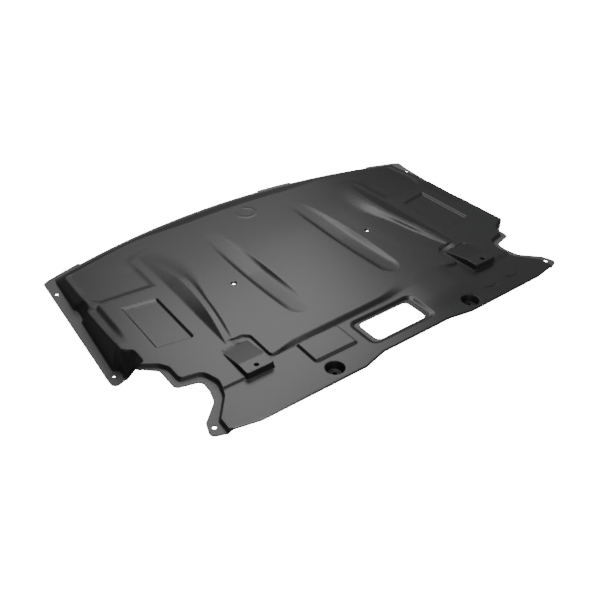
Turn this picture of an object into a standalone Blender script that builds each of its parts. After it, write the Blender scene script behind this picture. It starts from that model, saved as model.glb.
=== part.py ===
"""Engine splash shield: one thin moulded panel with fins, sunk cups, side wings and notches.

Metres, +Z up. X runs across the vehicle, +Y points to the curved front edge. Heights are given
above the rear strip, the plain band behind the panel. The finished solid stands with the bottom
centre of its box at the origin.
"""

import math

import bmesh
import bpy
import numpy as np
from mathutils import Vector
from mathutils.geometry import delaunay_2d_cdt

# Wall: on steep stretches it is measured downwards and not squarely, up to a share of its depth
WALL = 0.0028
STEEPEST_SHARE = 1.9
WALL_DRAFT = 0.0036

# Front edge
HALF_WIDTH = 0.500
FRONT_APEX = 0.346
FRONT_RADIUS = 1.400
FRONT_DROP = -0.003
FRONT_BAND = 0.011
FRONT_SLOPE = 0.015
FRONT_SLOPE_MIDDLE = 0.034
FRONT_SLOPE_SPAN = (0.120, 0.300)
FRONT_CREST_END = HALF_WIDTH - 0.045
FRONT_CORNER = 0.012
CORNER_CUT = 0.017
TAB_DEPTH = 0.006
TAB_TAPER = 0.003
SIDE_TAB = (HALF_WIDTH - 0.093, HALF_WIDTH - 0.011)
MIDDLE_TAB = (0.092, 0.191)
TAB_CLEAR = 0.008
FRONT_LINE_END = HALF_WIDTH - 0.040
FRONT_STEPS = 25

# Wings
WING_FRONT = 0.248
WING_REAR = -0.080
WING_FRONT_DROP = -0.004
FRONT_RIM_DROP = 0.0005
WING_REAR_DROP = -0.0437
WING_PAD_DROP = -0.0465
WING_PAD_FRONT = -0.036
WING_PAD_HEEL = 0.008
WING_CORNER = 0.016
WING_FLANGE = (0.023, 0.017)
WING_INNER_FRONT = HALF_WIDTH - WING_FLANGE[0]
WING_INNER_REAR = HALF_WIDTH - WING_FLANGE[1]
END_PAD_LENGTH = 0.0305
END_WALL_FOOT = (HALF_WIDTH - END_PAD_LENGTH, -0.069)
END_WALL_SPAN = (END_WALL_FOOT[0] + 0.0003, END_WALL_FOOT[0] + 0.0020)
END_PAD_INNER = END_WALL_FOOT[0] + 0.0015
END_PAD_FRONT = -0.046
RIM_WIDTH = 0.028
RIM_EDGE_FRONT = HALF_WIDTH - RIM_WIDTH
WING_WIDTH = 0.036
PANEL_EDGE = HALF_WIDTH - WING_WIDTH
PANEL_EDGE_REAR = -0.048
END_RECESS = 0.020
END_HOLE_INSET = 0.014
END_PAD = (HALF_WIDTH - END_HOLE_INSET, -0.049)
END_PAD_HOLE = 0.0045
FRONT_HOLE_INSET = 0.0115
FRONT_HOLE = (HALF_WIDTH - FRONT_HOLE_INSET, 0.213)
FRONT_HOLE_RADIUS = 0.0042
MID_PAD = (0.132, 0.016)
MID_PAD_WIDTH = 0.0275
MID_PAD_INNER = HALF_WIDTH - MID_PAD_WIDTH
POCKET_DEPTH = 0.0065
POCKET_INNER = PANEL_EDGE - POCKET_DEPTH

# Notches and ears
FLANGE_DROP = -0.0065
EAR_DROP = -0.0078
LEFT_CUSP = (HALF_WIDTH - 0.041, -0.1025)
RIGHT_CUSP = (HALF_WIDTH - 0.038, -0.1270)
CUSP_STEP = (0.002, 0.0045)
NOTCH_MOUTH = (HALF_WIDTH - 0.073, -0.1275)
NOTCH_MOUTH_STEP = 0.022
NOTCH_EDGE = (
    (HALF_WIDTH - 0.0735, -0.1865, 0.012),
    (HALF_WIDTH - 0.1185, -0.1970, 0.012),
    (HALF_WIDTH - 0.1185, -0.2250, 0.030),
    (HALF_WIDTH - 0.1110, -0.2530, 0.025),
    (HALF_WIDTH - 0.0740, -0.2885, 0.003),
)
NOTCH_WALL_MOUTH = (HALF_WIDTH - 0.075, -0.118)
NOTCH_WALL_STEPS = (0.020, 0.0375)
NOTCH_WALL = (
    (HALF_WIDTH - 0.0870, -0.1780, 0.008),
    (HALF_WIDTH - 0.1280, -0.1860, 0.022),
    (HALF_WIDTH - 0.1400, -0.2220, 0.025),
    (HALF_WIDTH - 0.1320, -0.2550, 0.040),
    (HALF_WIDTH - 0.0960, -0.3010, 0.006),
)
NOTCH_WALL_END = (HALF_WIDTH - 0.095, -0.328)
EAR_TIP = (HALF_WIDTH - 0.067, -0.318)
EAR_REAR = ((HALF_WIDTH - 0.0905, -0.3285, 0.002), (HALF_WIDTH - 0.101, -0.3325, 0.010))
EAR_WALL_REAR = (HALF_WIDTH - 0.104, -0.330)
EAR_HOLE = (HALF_WIDTH - 0.081, -0.305)
EAR_HOLE_RADIUS = 0.0048
EAR_RAMP = (-0.288, -0.190)
EAR_INNER = HALF_WIDTH - 0.090
REAR_RISE = (EAR_INNER - 0.010, EAR_INNER)
REAR_RISE_FRONT = -0.325

# Rear edge
REAR_LEFT = -0.343
REAR_RIGHT = -0.3395
REAR_MIDDLE = -0.3295
REAR_BEND = HALF_WIDTH - 0.150
REAR_LEFT_WAIST = (-0.124, -0.072)
REAR_RIGHT_WAIST = (0.150, 0.098)
REAR_WAIST_RADIUS = 0.030
REAR_BAND = 0.003
REAR_DROP = -0.002

# Levels above the rear strip
PANEL_LEVEL = 0.0048
FIELD_LEVEL = 0.0014
OUTER_STRIP_LEVEL = 0.0020

# Raised panel's rear end
PANEL_REAR_LEFT = -0.222
PANEL_REAR_RIGHT = -0.206
PANEL_REAR_DRAFT = 0.012
PANEL_REAR_DRAFT_FRONT = -0.180
PANEL_STEP_REAR = -0.245
PANEL_STEP_DRAFT = 0.004
BAY_FRONT = -0.141
BAY_INNER = HALF_WIDTH - 0.250
BAY_FADE = (BAY_INNER + 0.020, BAY_INNER + 0.036)
BAY_OVERLAP = 0.006
BAY_CORNER = 0.010

# Sunk fields behind the front lip
FIELD_INNER = HALF_WIDTH - 0.184
FIELD_REAR = 0.103
FIELD_OUTER = PANEL_EDGE - 0.006
FIELD_CORNER = 0.023
FIELD_DRAFT = 0.006
FIELD_FADE = FIELD_INNER - 0.126

# Outer strips beside the panel
STRIP_INNER = PANEL_EDGE - 0.023
STRIP_FRONT = 0.107
STRIP_REAR = -0.036
STRIP_WALL = 0.005
STRIP_FADE = 0.014
STRIP_DRAFT = 0.0035

# Side recesses
RECESS_WIDTH = 0.0735
RECESS_OUTER = PANEL_EDGE - 0.0555
RECESS_INNER = RECESS_OUTER - RECESS_WIDTH
RECESS_FRONT = (0.063, 0.074)
RECESS_REAR = (-0.091, -0.080)
RECESS_DEPTH = 0.005
RECESS_DRAFT = 0.0065
RECESS_CORNER = 0.007

# Outer fins
FIN_FOOT = HALF_WIDTH - 0.200
FIN_FRONT = 0.224
FIN_REAR = -0.149
FIN_WAIST = FIN_FOOT - 0.031
FIN_WAIST_Y = 0.062
FIN_FRONT_BOW = 2.0
FIN_REAR_BOW = 1.6
FIN_RISE = 0.0075
FIN_HIGH = (-0.010, 0.120)
FIN_SWELL = 0.8
FIN_TOP_WIDTH = 0.0115
FIN_TOP_FALL = 0.0010
FIN_SLOPE_WIDTH = 0.011

# Middle bulges
BULGE_OUTER = 0.151
BULGE_INNER = 0.093
BULGE_FRONT = 0.226
BULGE_REAR = -0.150
BULGE_HIGH = (0.045, 0.100)
BULGE_HEEL = 0.004
BULGE_SWELL = (1.1, 0.9)
BULGE_MIDDLE = 0.020
BULGE_RISE = 0.0068
BULGE_SIDE = 0.010
BULGE_SIDE_SHARE = 0.7
BULGE_TAIL = 0.030
BULGE_BOW = 0.007
BULGE_INNER_BOW_SHARE = 0.8
BULGE_CROWN = 0.1

# Ramped boxes
BOX_INNER = BAY_INNER + 0.008
BOX_WIDTH = 0.061
BOX_OUTER = BOX_INNER + BOX_WIDTH
BOX_FRONT = -0.154
BOX_REAR = -0.2485
BOX_PAD_FRONT = -0.217
BOX_TOP = 0.013
BOX_NOSE = 0.0030
BOX_DRAFT = 0.0022
BOX_CORNER = 0.006
BOX_HOLE = (BOX_INNER + 0.032, -0.235)
BOX_HOLE_RADIUS = 0.0042

# Left pad
PAD_LEFT = -0.194
PAD_RIGHT = -0.095
PAD_FRONT = -0.219
PAD_REAR = -0.283
PAD_TOP = 0.0046
PAD_DRAFT = 0.0035
PAD_CORNER = 0.006

# Access opening
OPENING_LEFT = -0.057
OPENING_RIGHT = 0.071
OPENING_FRONT = -0.238
OPENING_REAR = -0.298
OPENING_CORNER = 0.008
FRAME_MARGIN = (0.019, 0.011)
FRAME_DEPTH = 0.004
FRAME_DRAFT = 0.0055

# Bolt cups
CUP = (0.1735, -0.3145)
CUP_RADIUS = 0.0208
CUP_FLOOR_RADIUS = 0.0150
CUP_DEPTH = 0.015
CUP_HOLE_RADIUS = 0.004

# Clip holes
CLIP = (0.1815, 0.0165)
CLIP_RADIUS = 0.0058

# Free-state warp: the right side lies a little higher than the left
RIGHT_LIFT = 0.011
FRONT_LIFT = 0.0015
LIFT_FADE_REAR = 0.090

CIRCLE_STEPS = 20
HOLE_STEPS = 12
RIB_STEPS = 20
ARC_ANGLE = math.radians(20)
SAME_POINT = 1e-5
STRAIGHT = 1e-4
PAST_EDGE = 0.100


def front_edge(x, inset=0.0):
    """Y of the curved front edge, moved back by an inset."""
    return FRONT_APEX - inset - (FRONT_RADIUS - np.sqrt(FRONT_RADIUS**2 - np.asarray(x) ** 2))


def rounded(corners, closed=True):
    """Points of an outline whose corners (x, y, radius) are rounded with arcs."""
    count = len(corners)
    points = []
    for i, (x, y, radius) in enumerate(corners):
        here = Vector((x, y))
        before = Vector(corners[i - 1][:2]) - here
        after = Vector(corners[(i + 1) % count][:2]) - here
        turn = before.angle(after)
        end = not closed and i in (0, count - 1)
        if radius <= 0 or end or math.pi - turn < STRAIGHT:
            points.append(here)
            continue
        reach = min(radius / math.tan(turn / 2), 0.49 * before.length, 0.49 * after.length)
        radius = reach * math.tan(turn / 2)
        middle = here + (before.normalized() + after.normalized()).normalized() * (
            radius / math.sin(turn / 2)
        )
        start = here + before.normalized() * reach - middle
        end = here + after.normalized() * reach - middle
        sweep = start.angle_signed(end)
        steps = max(1, round(abs(sweep) / ARC_ANGLE))
        for k in range(steps + 1):
            angle = -sweep * k / steps
            turned = Vector((
                start.x * math.cos(angle) - start.y * math.sin(angle),
                start.x * math.sin(angle) + start.y * math.cos(angle),
            ))
            points.append(middle + turned)
    return np.array([(p.x, p.y) for p in points])


def circle(centre, radius, steps=CIRCLE_STEPS):
    """Points of a circle."""
    angle = np.arange(steps) * 2 * math.pi / steps
    return np.column_stack([centre[0] + radius * np.cos(angle), centre[1] + radius * np.sin(angle)])


def mirrored(points):
    """The same outline on the other side of the centre plane."""
    return points[::-1] * (-1, 1)


def both_sides(points):
    """An outline and its mirror image."""
    return [points, mirrored(points)]


def offset(points, distance, closed=True):
    """An outline moved to its left by a distance, with mitred corners."""
    if closed:
        ahead, behind = np.roll(points, -1, axis=0) - points, points - np.roll(points, 1, axis=0)
    else:
        steps = np.diff(points, axis=0)
        ahead, behind = np.vstack([steps, steps[-1:]]), np.vstack([steps[:1], steps])
    ahead = ahead / np.linalg.norm(ahead, axis=1)[:, None]
    behind = behind / np.linalg.norm(behind, axis=1)[:, None]
    normal = np.column_stack([-(ahead + behind)[:, 1], (ahead + behind)[:, 0]])
    normal /= np.linalg.norm(normal, axis=1)[:, None]
    side = np.column_stack([-ahead[:, 1], ahead[:, 0]])
    return points + normal * (distance / np.maximum((normal * side).sum(axis=1), 0.5))[:, None]


def area(points):
    """Signed area of an outline: positive where it runs anticlockwise."""
    nxt = np.roll(points, -1, axis=0)
    return 0.5 * (points[:, 0] * nxt[:, 1] - nxt[:, 0] * points[:, 1]).sum()


def shrunk(points, distance):
    """A closed outline moved inwards by a distance, or outwards where it is negative."""
    return offset(points, distance if area(points) > 0 else -distance)


def depth_inside(points, outline):
    """Distance of each point from a closed outline: positive inside it."""
    start, end = outline, np.roll(outline, -1, axis=0)
    edge = end - start
    gap = points[:, None, :] - start[None]
    along = np.clip((gap * edge).sum(axis=2) / (edge**2).sum(axis=1), 0, 1)
    away = np.linalg.norm(gap - along[..., None] * edge[None], axis=2).min(axis=1)
    x, y = points[:, :1], points[:, 1:]
    spans = (start[:, 1] > y) != (end[:, 1] > y)
    rise = np.where(edge[:, 1] == 0, 1.0, edge[:, 1])
    crossing = start[:, 0] + (y - start[:, 1]) * edge[:, 0] / rise
    inside = (spans & (x < crossing)).sum(axis=1) % 2 == 1
    return np.where(inside, away, -away)


def fade(value, low, high):
    """0 at low, 1 at high, straight between and level beyond."""
    return np.clip((value - low) / (high - low), 0, 1)


class Outlines:
    """The closed and open lines that the panel is drawn from, in plan."""

    def __init__(self):
        self.outer = self.outer_edge()
        self.panel, self.wall_feet = self.panel_edge()

    def front_line(self, inset, tabs):
        """The front edge from the right corner to the left one."""
        marks = list(np.linspace(-FRONT_LINE_END, FRONT_LINE_END, FRONT_STEPS))
        spans = [SIDE_TAB, (-SIDE_TAB[1], -SIDE_TAB[0]), MIDDLE_TAB] if tabs else []
        marks = [x for x in marks if not any(a - TAB_CLEAR < x < b + TAB_CLEAR for a, b in spans)]
        line = [(x, float(front_edge(x, inset))) for x in marks]
        for a, b in spans:
            ends = [(a, 0), (a + TAB_TAPER, TAB_DEPTH), (b - TAB_TAPER, TAB_DEPTH), (b, 0)]
            if b == SIDE_TAB[1]:
                ends = ends[:2] + [(b, TAB_DEPTH)]
            if a == -SIDE_TAB[1]:
                ends = [(a, TAB_DEPTH)] + ends[2:]
            for x, depth in ends + [((a + b) / 2, TAB_DEPTH)]:
                line.append((x, float(front_edge(x)) + depth))
        return np.array(sorted(line, reverse=True))

    def outer_side(self, cusp, rear):
        """The outer edge of one side, from the front corner to the waist of the rear edge."""
        return rounded([
            (SIDE_TAB[1], float(front_edge(SIDE_TAB[1])) + TAB_DEPTH, 0),
            (HALF_WIDTH, WING_FRONT, FRONT_CORNER),
            (HALF_WIDTH, WING_REAR, WING_CORNER),
            (*END_WALL_FOOT, 0.003),
            (cusp[0] + CUSP_STEP[0], cusp[1] + CUSP_STEP[1], 0.002),
            (NOTCH_MOUTH[0], min(NOTCH_MOUTH[1], cusp[1] - NOTCH_MOUTH_STEP), 0.010),
            *NOTCH_EDGE,
            (*EAR_TIP, 0.008),
            *EAR_REAR,
            (REAR_BEND, rear, 0.060),
        ], closed=False)

    def rear_line(self, inset):
        """The rear edge from left to right, stepped forwards at its waist."""
        left, right = REAR_LEFT_WAIST, REAR_RIGHT_WAIST
        return rounded([
            (-REAR_BEND, REAR_LEFT + inset, 0),
            (left[0], REAR_LEFT + inset, REAR_WAIST_RADIUS),
            (left[1], REAR_MIDDLE + inset, REAR_WAIST_RADIUS),
            (right[1], REAR_MIDDLE + inset, REAR_WAIST_RADIUS),
            (right[0], REAR_RIGHT + inset, REAR_WAIST_RADIUS),
            (REAR_BEND, REAR_RIGHT + inset, 0),
        ], closed=False)[1:-1]

    def outer_edge(self):
        """The whole outer edge, anticlockwise from the front corner on the left."""
        left = mirrored(self.outer_side(LEFT_CUSP, REAR_LEFT))[::-1]
        right = self.outer_side(RIGHT_CUSP, REAR_RIGHT)
        front = self.front_line(0.0, tabs=True)
        return np.vstack([front[1:-1], left, self.rear_line(0.0), right[::-1]])

    def panel_side(self, cusp):
        """The upper edge of the side wall: its wing part and its notch part."""
        recess = PANEL_EDGE - END_RECESS if cusp == LEFT_CUSP else PANEL_EDGE
        wing = rounded([
            (RIM_EDGE_FRONT - CORNER_CUT, float(front_edge(RIM_EDGE_FRONT - CORNER_CUT, FRONT_BAND)), 0),
            (RIM_EDGE_FRONT, WING_FRONT, 0.010),
            (RIM_EDGE_FRONT + 0.001, MID_PAD[0] + MID_PAD[1], 0.003),
            (POCKET_INNER, MID_PAD[0] + 0.6 * MID_PAD[1], 0.008),
            (POCKET_INNER, MID_PAD[0] - MID_PAD[1], 0.008),
            (PANEL_EDGE + 0.003, MID_PAD[0] - 1.7 * MID_PAD[1], 0.006),
            (PANEL_EDGE, PANEL_EDGE_REAR, 0.010),
            (recess, PANEL_EDGE_REAR - 0.012, 0.012),
            (recess, cusp[1] + 0.001, 0.012),
            (cusp[0] - CUSP_STEP[0], cusp[1], 0),
        ], closed=False)
        notch = rounded([
            (cusp[0] - CUSP_STEP[0], cusp[1], 0),
            (NOTCH_WALL_MOUTH[0], min(NOTCH_WALL_MOUTH[1], cusp[1] - NOTCH_WALL_STEPS[0]), 0.020),
            (NOTCH_WALL[0][0] + 0.001, cusp[1] - NOTCH_WALL_STEPS[1], 0.010),
            *NOTCH_WALL,
            (*NOTCH_WALL_END, 0),
        ], closed=False)
        return wing, notch

    def wing_foot(self):
        """The foot of one wing's wall, round its middle pad and its end pad."""
        pad_front, pad_rear = MID_PAD[0] + MID_PAD[1], MID_PAD[0] - MID_PAD[1]
        return rounded([
            (WING_INNER_FRONT - 0.003, WING_FRONT + 0.010, 0),
            (WING_INNER_FRONT, WING_FRONT - 0.006, 0.005),
            (WING_INNER_FRONT + 0.001, pad_front + 0.003, 0.004),
            (MID_PAD_INNER, pad_front - 0.004, 0.008),
            (MID_PAD_INNER, pad_rear + 0.004, 0.008),
            (WING_INNER_FRONT + 0.002, pad_rear - 0.006, 0.004),
            (WING_INNER_REAR, END_PAD[1] + END_PAD[0] - END_PAD_INNER, 0.005),
            (END_PAD_INNER, END_PAD_FRONT, 0.008),
            (END_PAD_INNER, END_PAD_FRONT - 0.014, 0.008),
            (END_PAD_INNER + 0.007, END_WALL_FOOT[1] + 0.002, 0),
        ], closed=False)

    def panel_edge(self):
        """The upper edge of the walls all round, and the open lines along the foot of each wall."""
        sides, feet = [], both_sides(self.wing_foot())
        for cusp, rear in ((LEFT_CUSP, REAR_LEFT), (RIGHT_CUSP, REAR_RIGHT)):
            wing, notch = self.panel_side(cusp)
            corner = rounded([
                tuple(notch[-1]) + (0,),
                (*EAR_WALL_REAR, 0.004),
                (REAR_BEND - 0.001, rear + REAR_BAND, 0.060),
            ], closed=False)
            sides.append(np.vstack([wing[:-1], notch[:-1], corner]))
            foot = offset(notch, WALL_DRAFT, closed=False)[1:-1]
            feet.append(mirrored(foot) if cusp == LEFT_CUSP else foot)
        front = self.front_line(FRONT_BAND, tabs=False)[1:-1]
        left, right = mirrored(sides[0])[::-1], sides[1][::-1]
        return np.vstack([front, left, self.rear_line(REAR_BAND), right]), feet


def raised_outline():
    """The foot of the raised panel's rear end, running well past the walls elsewhere."""
    side = BOX_OUTER - BAY_OVERLAP
    past = HALF_WIDTH + PAST_EDGE
    return rounded([
        (past, past, 0),
        (-past, past, 0),
        (-past, PANEL_STEP_REAR, 0),
        (-side, PANEL_STEP_REAR, 0),
        (-side, BAY_FRONT, 0),
        (-BAY_FADE[1], BAY_FRONT, 0),
        (-BAY_FADE[0], BAY_FRONT, 0),
        (-BAY_INNER - BAY_CORNER, BAY_FRONT, 0.008),
        (-BAY_INNER, BAY_FRONT - BAY_CORNER, 0.006),
        (-BAY_INNER, PANEL_REAR_LEFT, 0.010),
        (BAY_INNER, PANEL_REAR_RIGHT, 0.010),
        (BAY_INNER, BAY_FRONT - BAY_CORNER, 0.006),
        (BAY_INNER + BAY_CORNER, BAY_FRONT, 0.008),
        (BAY_FADE[0], BAY_FRONT, 0),
        (BAY_FADE[1], BAY_FRONT, 0),
        (side, BAY_FRONT, 0),
        (side, PANEL_STEP_REAR, 0),
        (past, PANEL_STEP_REAR, 0),
    ])


def front_slope(x):
    """Width of the slope between the front flange and the panel: wider in the middle."""
    share = fade(np.abs(x), *FRONT_SLOPE_SPAN)
    return FRONT_SLOPE_MIDDLE + (FRONT_SLOPE - FRONT_SLOPE_MIDDLE) * share


def front_crest():
    """The line where the front slope reaches the panel."""
    x = np.linspace(-FRONT_CREST_END, FRONT_CREST_END, FRONT_STEPS)
    return np.column_stack([x, front_edge(x, FRONT_BAND + front_slope(x))])


def field_outline():
    """One sunk field: its front side lies under the front slope."""
    under = FRONT_BAND + FRONT_SLOPE - FIELD_DRAFT
    across = np.linspace(FIELD_FADE, FIELD_OUTER - FIELD_CORNER, 9)
    lip = [(x, float(front_edge(x, under)), 0) for x in across]
    return rounded(lip + [
        (FIELD_OUTER, WING_FRONT - 0.001, 0.004),
        (FIELD_OUTER - 0.001, 0.165, 0.030),
        (FIELD_OUTER - 0.009, 0.128, 0.015),
        (FIELD_OUTER - 0.022, FIELD_REAR + 0.008, 0.008),
        (FIELD_INNER, FIELD_REAR, 0.004),
        (FIELD_INNER, FIN_FRONT, 0.012),
        (FIELD_FADE, FIN_FRONT + 0.026, 0.020),
    ])


def strip_outline():
    """One low strip outside the panel's dark outer step."""
    return rounded([
        (STRIP_INNER, STRIP_FRONT, 0.004),
        (STRIP_INNER, STRIP_REAR, 0.004),
        (PANEL_EDGE + 0.5 * STRIP_WALL, STRIP_REAR - STRIP_WALL, 0),
        (PANEL_EDGE + STRIP_WALL, STRIP_FRONT + STRIP_WALL, 0),
    ])


def recess_outline():
    """One side recess, narrower towards the centre."""
    return rounded([
        (RECESS_INNER, RECESS_FRONT[0], RECESS_CORNER),
        (RECESS_OUTER, RECESS_FRONT[1], RECESS_CORNER),
        (RECESS_OUTER, RECESS_REAR[1], RECESS_CORNER),
        (RECESS_INNER, RECESS_REAR[0], RECESS_CORNER),
    ])


def fin_crest(y):
    """Distance of an outer fin's crest from the centre plane."""
    front = fade(y, FIN_WAIST_Y, FIN_FRONT) ** FIN_FRONT_BOW
    rear = fade(-y, -FIN_WAIST_Y, -FIN_REAR) ** FIN_REAR_BOW
    return FIN_WAIST + (FIN_FOOT - FIN_WAIST) * (front + rear)


def fin_height(y):
    """Rise of an outer fin's crest over the panel."""
    return FIN_RISE * np.minimum(fade(y, FIN_REAR, FIN_HIGH[0]), fade(y, FIN_FRONT, FIN_HIGH[1])) ** FIN_SWELL


def fin_lines():
    """Foot, crest, top edge and inner foot of one outer fin."""
    y = np.linspace(FIN_FRONT, FIN_REAR, RIB_STEPS)
    crest = fin_crest(y)
    foot = np.column_stack([np.full_like(y, FIN_FOOT), y])
    lines = [foot, np.column_stack([crest, y])[1:-1]]
    for width in (FIN_TOP_WIDTH, FIN_TOP_WIDTH + FIN_SLOPE_WIDTH):
        lines.append(np.column_stack([crest - width, y]))
    return lines


def fin_rise(points):
    """Rise of the outer fins over the panel."""
    x, y = np.abs(points[:, 0]), points[:, 1]
    crest, height = fin_crest(y), fin_height(y)
    top = height - FIN_TOP_FALL * fade(crest - x, 0, FIN_TOP_WIDTH) * (height > 0)
    leaf = height * fade(FIN_FOOT - x, 0, np.maximum(FIN_FOOT - crest, SAME_POINT))
    slope = top * fade(x, crest - FIN_TOP_WIDTH - FIN_SLOPE_WIDTH, crest - FIN_TOP_WIDTH)
    return np.maximum(np.where(x > crest, leaf, slope), 0)


def bulge_edges(y):
    """Inner and outer edge of a middle bulge at a place along it."""
    half = 0.5 * (BULGE_OUTER - BULGE_INNER)
    bow = BULGE_BOW * ((y - BULGE_MIDDLE) / (BULGE_MIDDLE - BULGE_REAR)) ** 2
    end = fade(-y, -BULGE_REAR - BULGE_TAIL, -BULGE_REAR)
    inner_bow = BULGE_INNER_BOW_SHARE * bow
    tail = (half - 0.5 * (inner_bow + bow)) * (1 - np.sqrt(1 - end**2))
    return BULGE_INNER + inner_bow + tail, BULGE_OUTER - bow - tail


def bulge_height(y):
    """Rise of a middle bulge over the panel."""
    rear = fade(y, BULGE_REAR - BULGE_HEEL, BULGE_HIGH[0])
    front = fade(y, BULGE_FRONT, BULGE_HIGH[1])
    return BULGE_RISE * np.sin(0.5 * math.pi * rear) ** BULGE_SWELL[0] * front ** BULGE_SWELL[1]


def bulge_lines():
    """Foot and top edges of one middle bulge."""
    y = np.linspace(BULGE_FRONT, BULGE_REAR, RIB_STEPS)
    inner, outer = bulge_edges(y)
    side = np.minimum(BULGE_SIDE, BULGE_SIDE_SHARE * (outer - inner) / 2)
    edges = [inner, inner + side, (inner + outer) / 2, outer - side, outer]
    return [np.column_stack([edge, y]) for edge in edges]


def bulge_rise(points):
    """Rise of the middle bulges over the panel."""
    x, y = np.abs(points[:, 0]), points[:, 1]
    inner, outer = bulge_edges(np.clip(y, BULGE_REAR, BULGE_FRONT))
    half = np.maximum((outer - inner) / 2, SAME_POINT)
    within = np.minimum(x - inner, outer - x)
    edge = fade(within, 0, np.minimum(BULGE_SIDE, BULGE_SIDE_SHARE * half))
    crown = 1 - BULGE_CROWN * (1 - fade(within, 0, half))
    inside = (y >= BULGE_REAR) & (y <= BULGE_FRONT)
    return np.where(inside, bulge_height(y) * edge * crown, 0)


def box_outline():
    """The foot of one ramped box."""
    return rounded([
        (BOX_INNER, BOX_FRONT, BOX_CORNER),
        (BOX_OUTER, BOX_FRONT, BOX_CORNER),
        (BOX_OUTER, BOX_REAR, BOX_CORNER),
        (BOX_INNER, BOX_REAR, BOX_CORNER),
    ])


def box_top(y):
    """Height of a ramped box's top: a ramp and then a level pad."""
    return BOX_NOSE + (BOX_TOP - BOX_NOSE) * fade(-y, -BOX_FRONT, -BOX_PAD_FRONT)


def pad_outline():
    """The foot of the pad at the rear left."""
    return rounded([
        (PAD_LEFT, PAD_FRONT, PAD_CORNER),
        (PAD_RIGHT, PAD_FRONT, PAD_CORNER),
        (PAD_RIGHT, PAD_REAR, PAD_CORNER),
        (PAD_LEFT, PAD_REAR, PAD_CORNER),
    ])


def opening_outline(margin_side=0.0, margin_end=0.0, corner=OPENING_CORNER):
    """The access opening, or the frame round it."""
    return rounded([
        (OPENING_LEFT - margin_side, OPENING_FRONT + margin_end, corner),
        (OPENING_RIGHT + margin_side, OPENING_FRONT + margin_end, corner),
        (OPENING_RIGHT + margin_side, OPENING_REAR - margin_end, corner),
        (OPENING_LEFT - margin_side, OPENING_REAR - margin_end, corner),
    ])


def stepped(height, points, outline, level, draft):
    """The surface with the inside of an outline brought to a level over a sloped wall."""
    share = fade(depth_inside(points, outline), 0, draft)
    return height + (level - height) * share


def rear_draft(x, y):
    """Width of the raised panel's rear slope: long at the middle, short elsewhere."""
    middle = (x < BAY_INNER - SAME_POINT) & (y < PANEL_REAR_DRAFT_FRONT)
    return np.where(middle, PANEL_REAR_DRAFT, PANEL_STEP_DRAFT)


def panel_height(points):
    """Height of the panel's upper face above the rear strip."""
    x, y = np.abs(points[:, 0]), points[:, 1]
    floor = PANEL_LEVEL * fade(x, *BAY_FADE) * fade(y, BOX_FRONT - BAY_CORNER, BOX_FRONT)
    height = stepped(floor, points, raised_outline(), PANEL_LEVEL, rear_draft(x, y))
    height = height + (fin_rise(points) + bulge_rise(points)) * fade(height, 0, PANEL_LEVEL)
    low = FIELD_LEVEL + (PANEL_LEVEL - FIELD_LEVEL) * (1 - fade(x, FIELD_FADE, FIELD_INNER))
    for outline in both_sides(field_outline()):
        height = stepped(height, points, outline, low, FIELD_DRAFT)
    behind = fade(-y, -STRIP_REAR - STRIP_FADE, -STRIP_REAR)
    low = OUTER_STRIP_LEVEL + (PANEL_LEVEL - OUTER_STRIP_LEVEL) * behind
    for outline in both_sides(strip_outline()):
        height = stepped(height, points, outline, low, STRIP_DRAFT)
    for outline in both_sides(recess_outline()):
        height = stepped(height, points, outline, PANEL_LEVEL - RECESS_DEPTH, RECESS_DRAFT)
    for outline in both_sides(box_outline()):
        height = stepped(height, points, outline, np.maximum(box_top(y), height), BOX_DRAFT)
    height = stepped(height, points, pad_outline(), PAD_TOP, PAD_DRAFT)
    height = stepped(height, points, opening_outline(*FRAME_MARGIN), -FRAME_DEPTH, FRAME_DRAFT)
    for side in (-1, 1):
        outline = circle((side * CUP[0], CUP[1]), CUP_RADIUS)
        height = stepped(height, points, outline, -CUP_DEPTH, CUP_RADIUS - CUP_FLOOR_RADIUS)
    return height


def rim_height(points):
    """Height of the flanges, wings and ears outside the walls' foot."""
    x, y = np.abs(points[:, 0]), points[:, 1]
    flange = np.interp(y, EAR_RAMP, [EAR_DROP, FLANGE_DROP])
    wall_top = np.where(points[:, 0] < 0, LEFT_CUSP[1], RIGHT_CUSP[1]) + CUSP_STEP[1]
    notch = flange + (WING_PAD_DROP - flange) * fade(y, wall_top, END_WALL_FOOT[1])
    along = [WING_PAD_FRONT, WING_PAD_FRONT + WING_PAD_HEEL, WING_FRONT, WING_FRONT + FRONT_CORNER]
    wing = np.interp(y, along, [WING_PAD_DROP, WING_REAR_DROP, WING_FRONT_DROP, FRONT_DROP])
    on_wing = np.maximum(fade(x, *END_WALL_SPAN), fade(y, END_WALL_FOOT[1], WING_PAD_FRONT))
    height = notch + (wing - notch) * on_wing
    behind = (y < REAR_RISE_FRONT) & (x < EAR_INNER)
    return np.where(behind, REAR_DROP + (EAR_DROP - REAR_DROP) * fade(x, *REAR_RISE), height)


def warp(points):
    """Lift of the right side in the shield's free state."""
    across = (points[:, 0] + HALF_WIDTH) / (2 * HALF_WIDTH)
    share = fade(points[:, 1], LIFT_FADE_REAR, WING_FRONT)
    return (RIGHT_LIFT + (FRONT_LIFT - RIGHT_LIFT) * share) * across**3


def upper_height(points, panel):
    """Height inside the walls: the panel's, but lower towards the front and the edge of the wings."""
    x, y = np.abs(points[:, 0]), points[:, 1]
    height = panel_height(points)
    on_edge = np.abs(depth_inside(points, panel)) < SAME_POINT
    share = on_edge * (x > FIELD_OUTER) * fade(y, MID_PAD[0] - 2 * MID_PAD[1], MID_PAD[0] - MID_PAD[1])
    height = height - (PANEL_LEVEL + FRONT_RIM_DROP) * share
    slope = fade(front_edge(points[:, 0], FRONT_BAND) - y, 0, front_slope(x))
    return np.minimum(height, FRONT_DROP + (height - FRONT_DROP) * slope)


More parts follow.
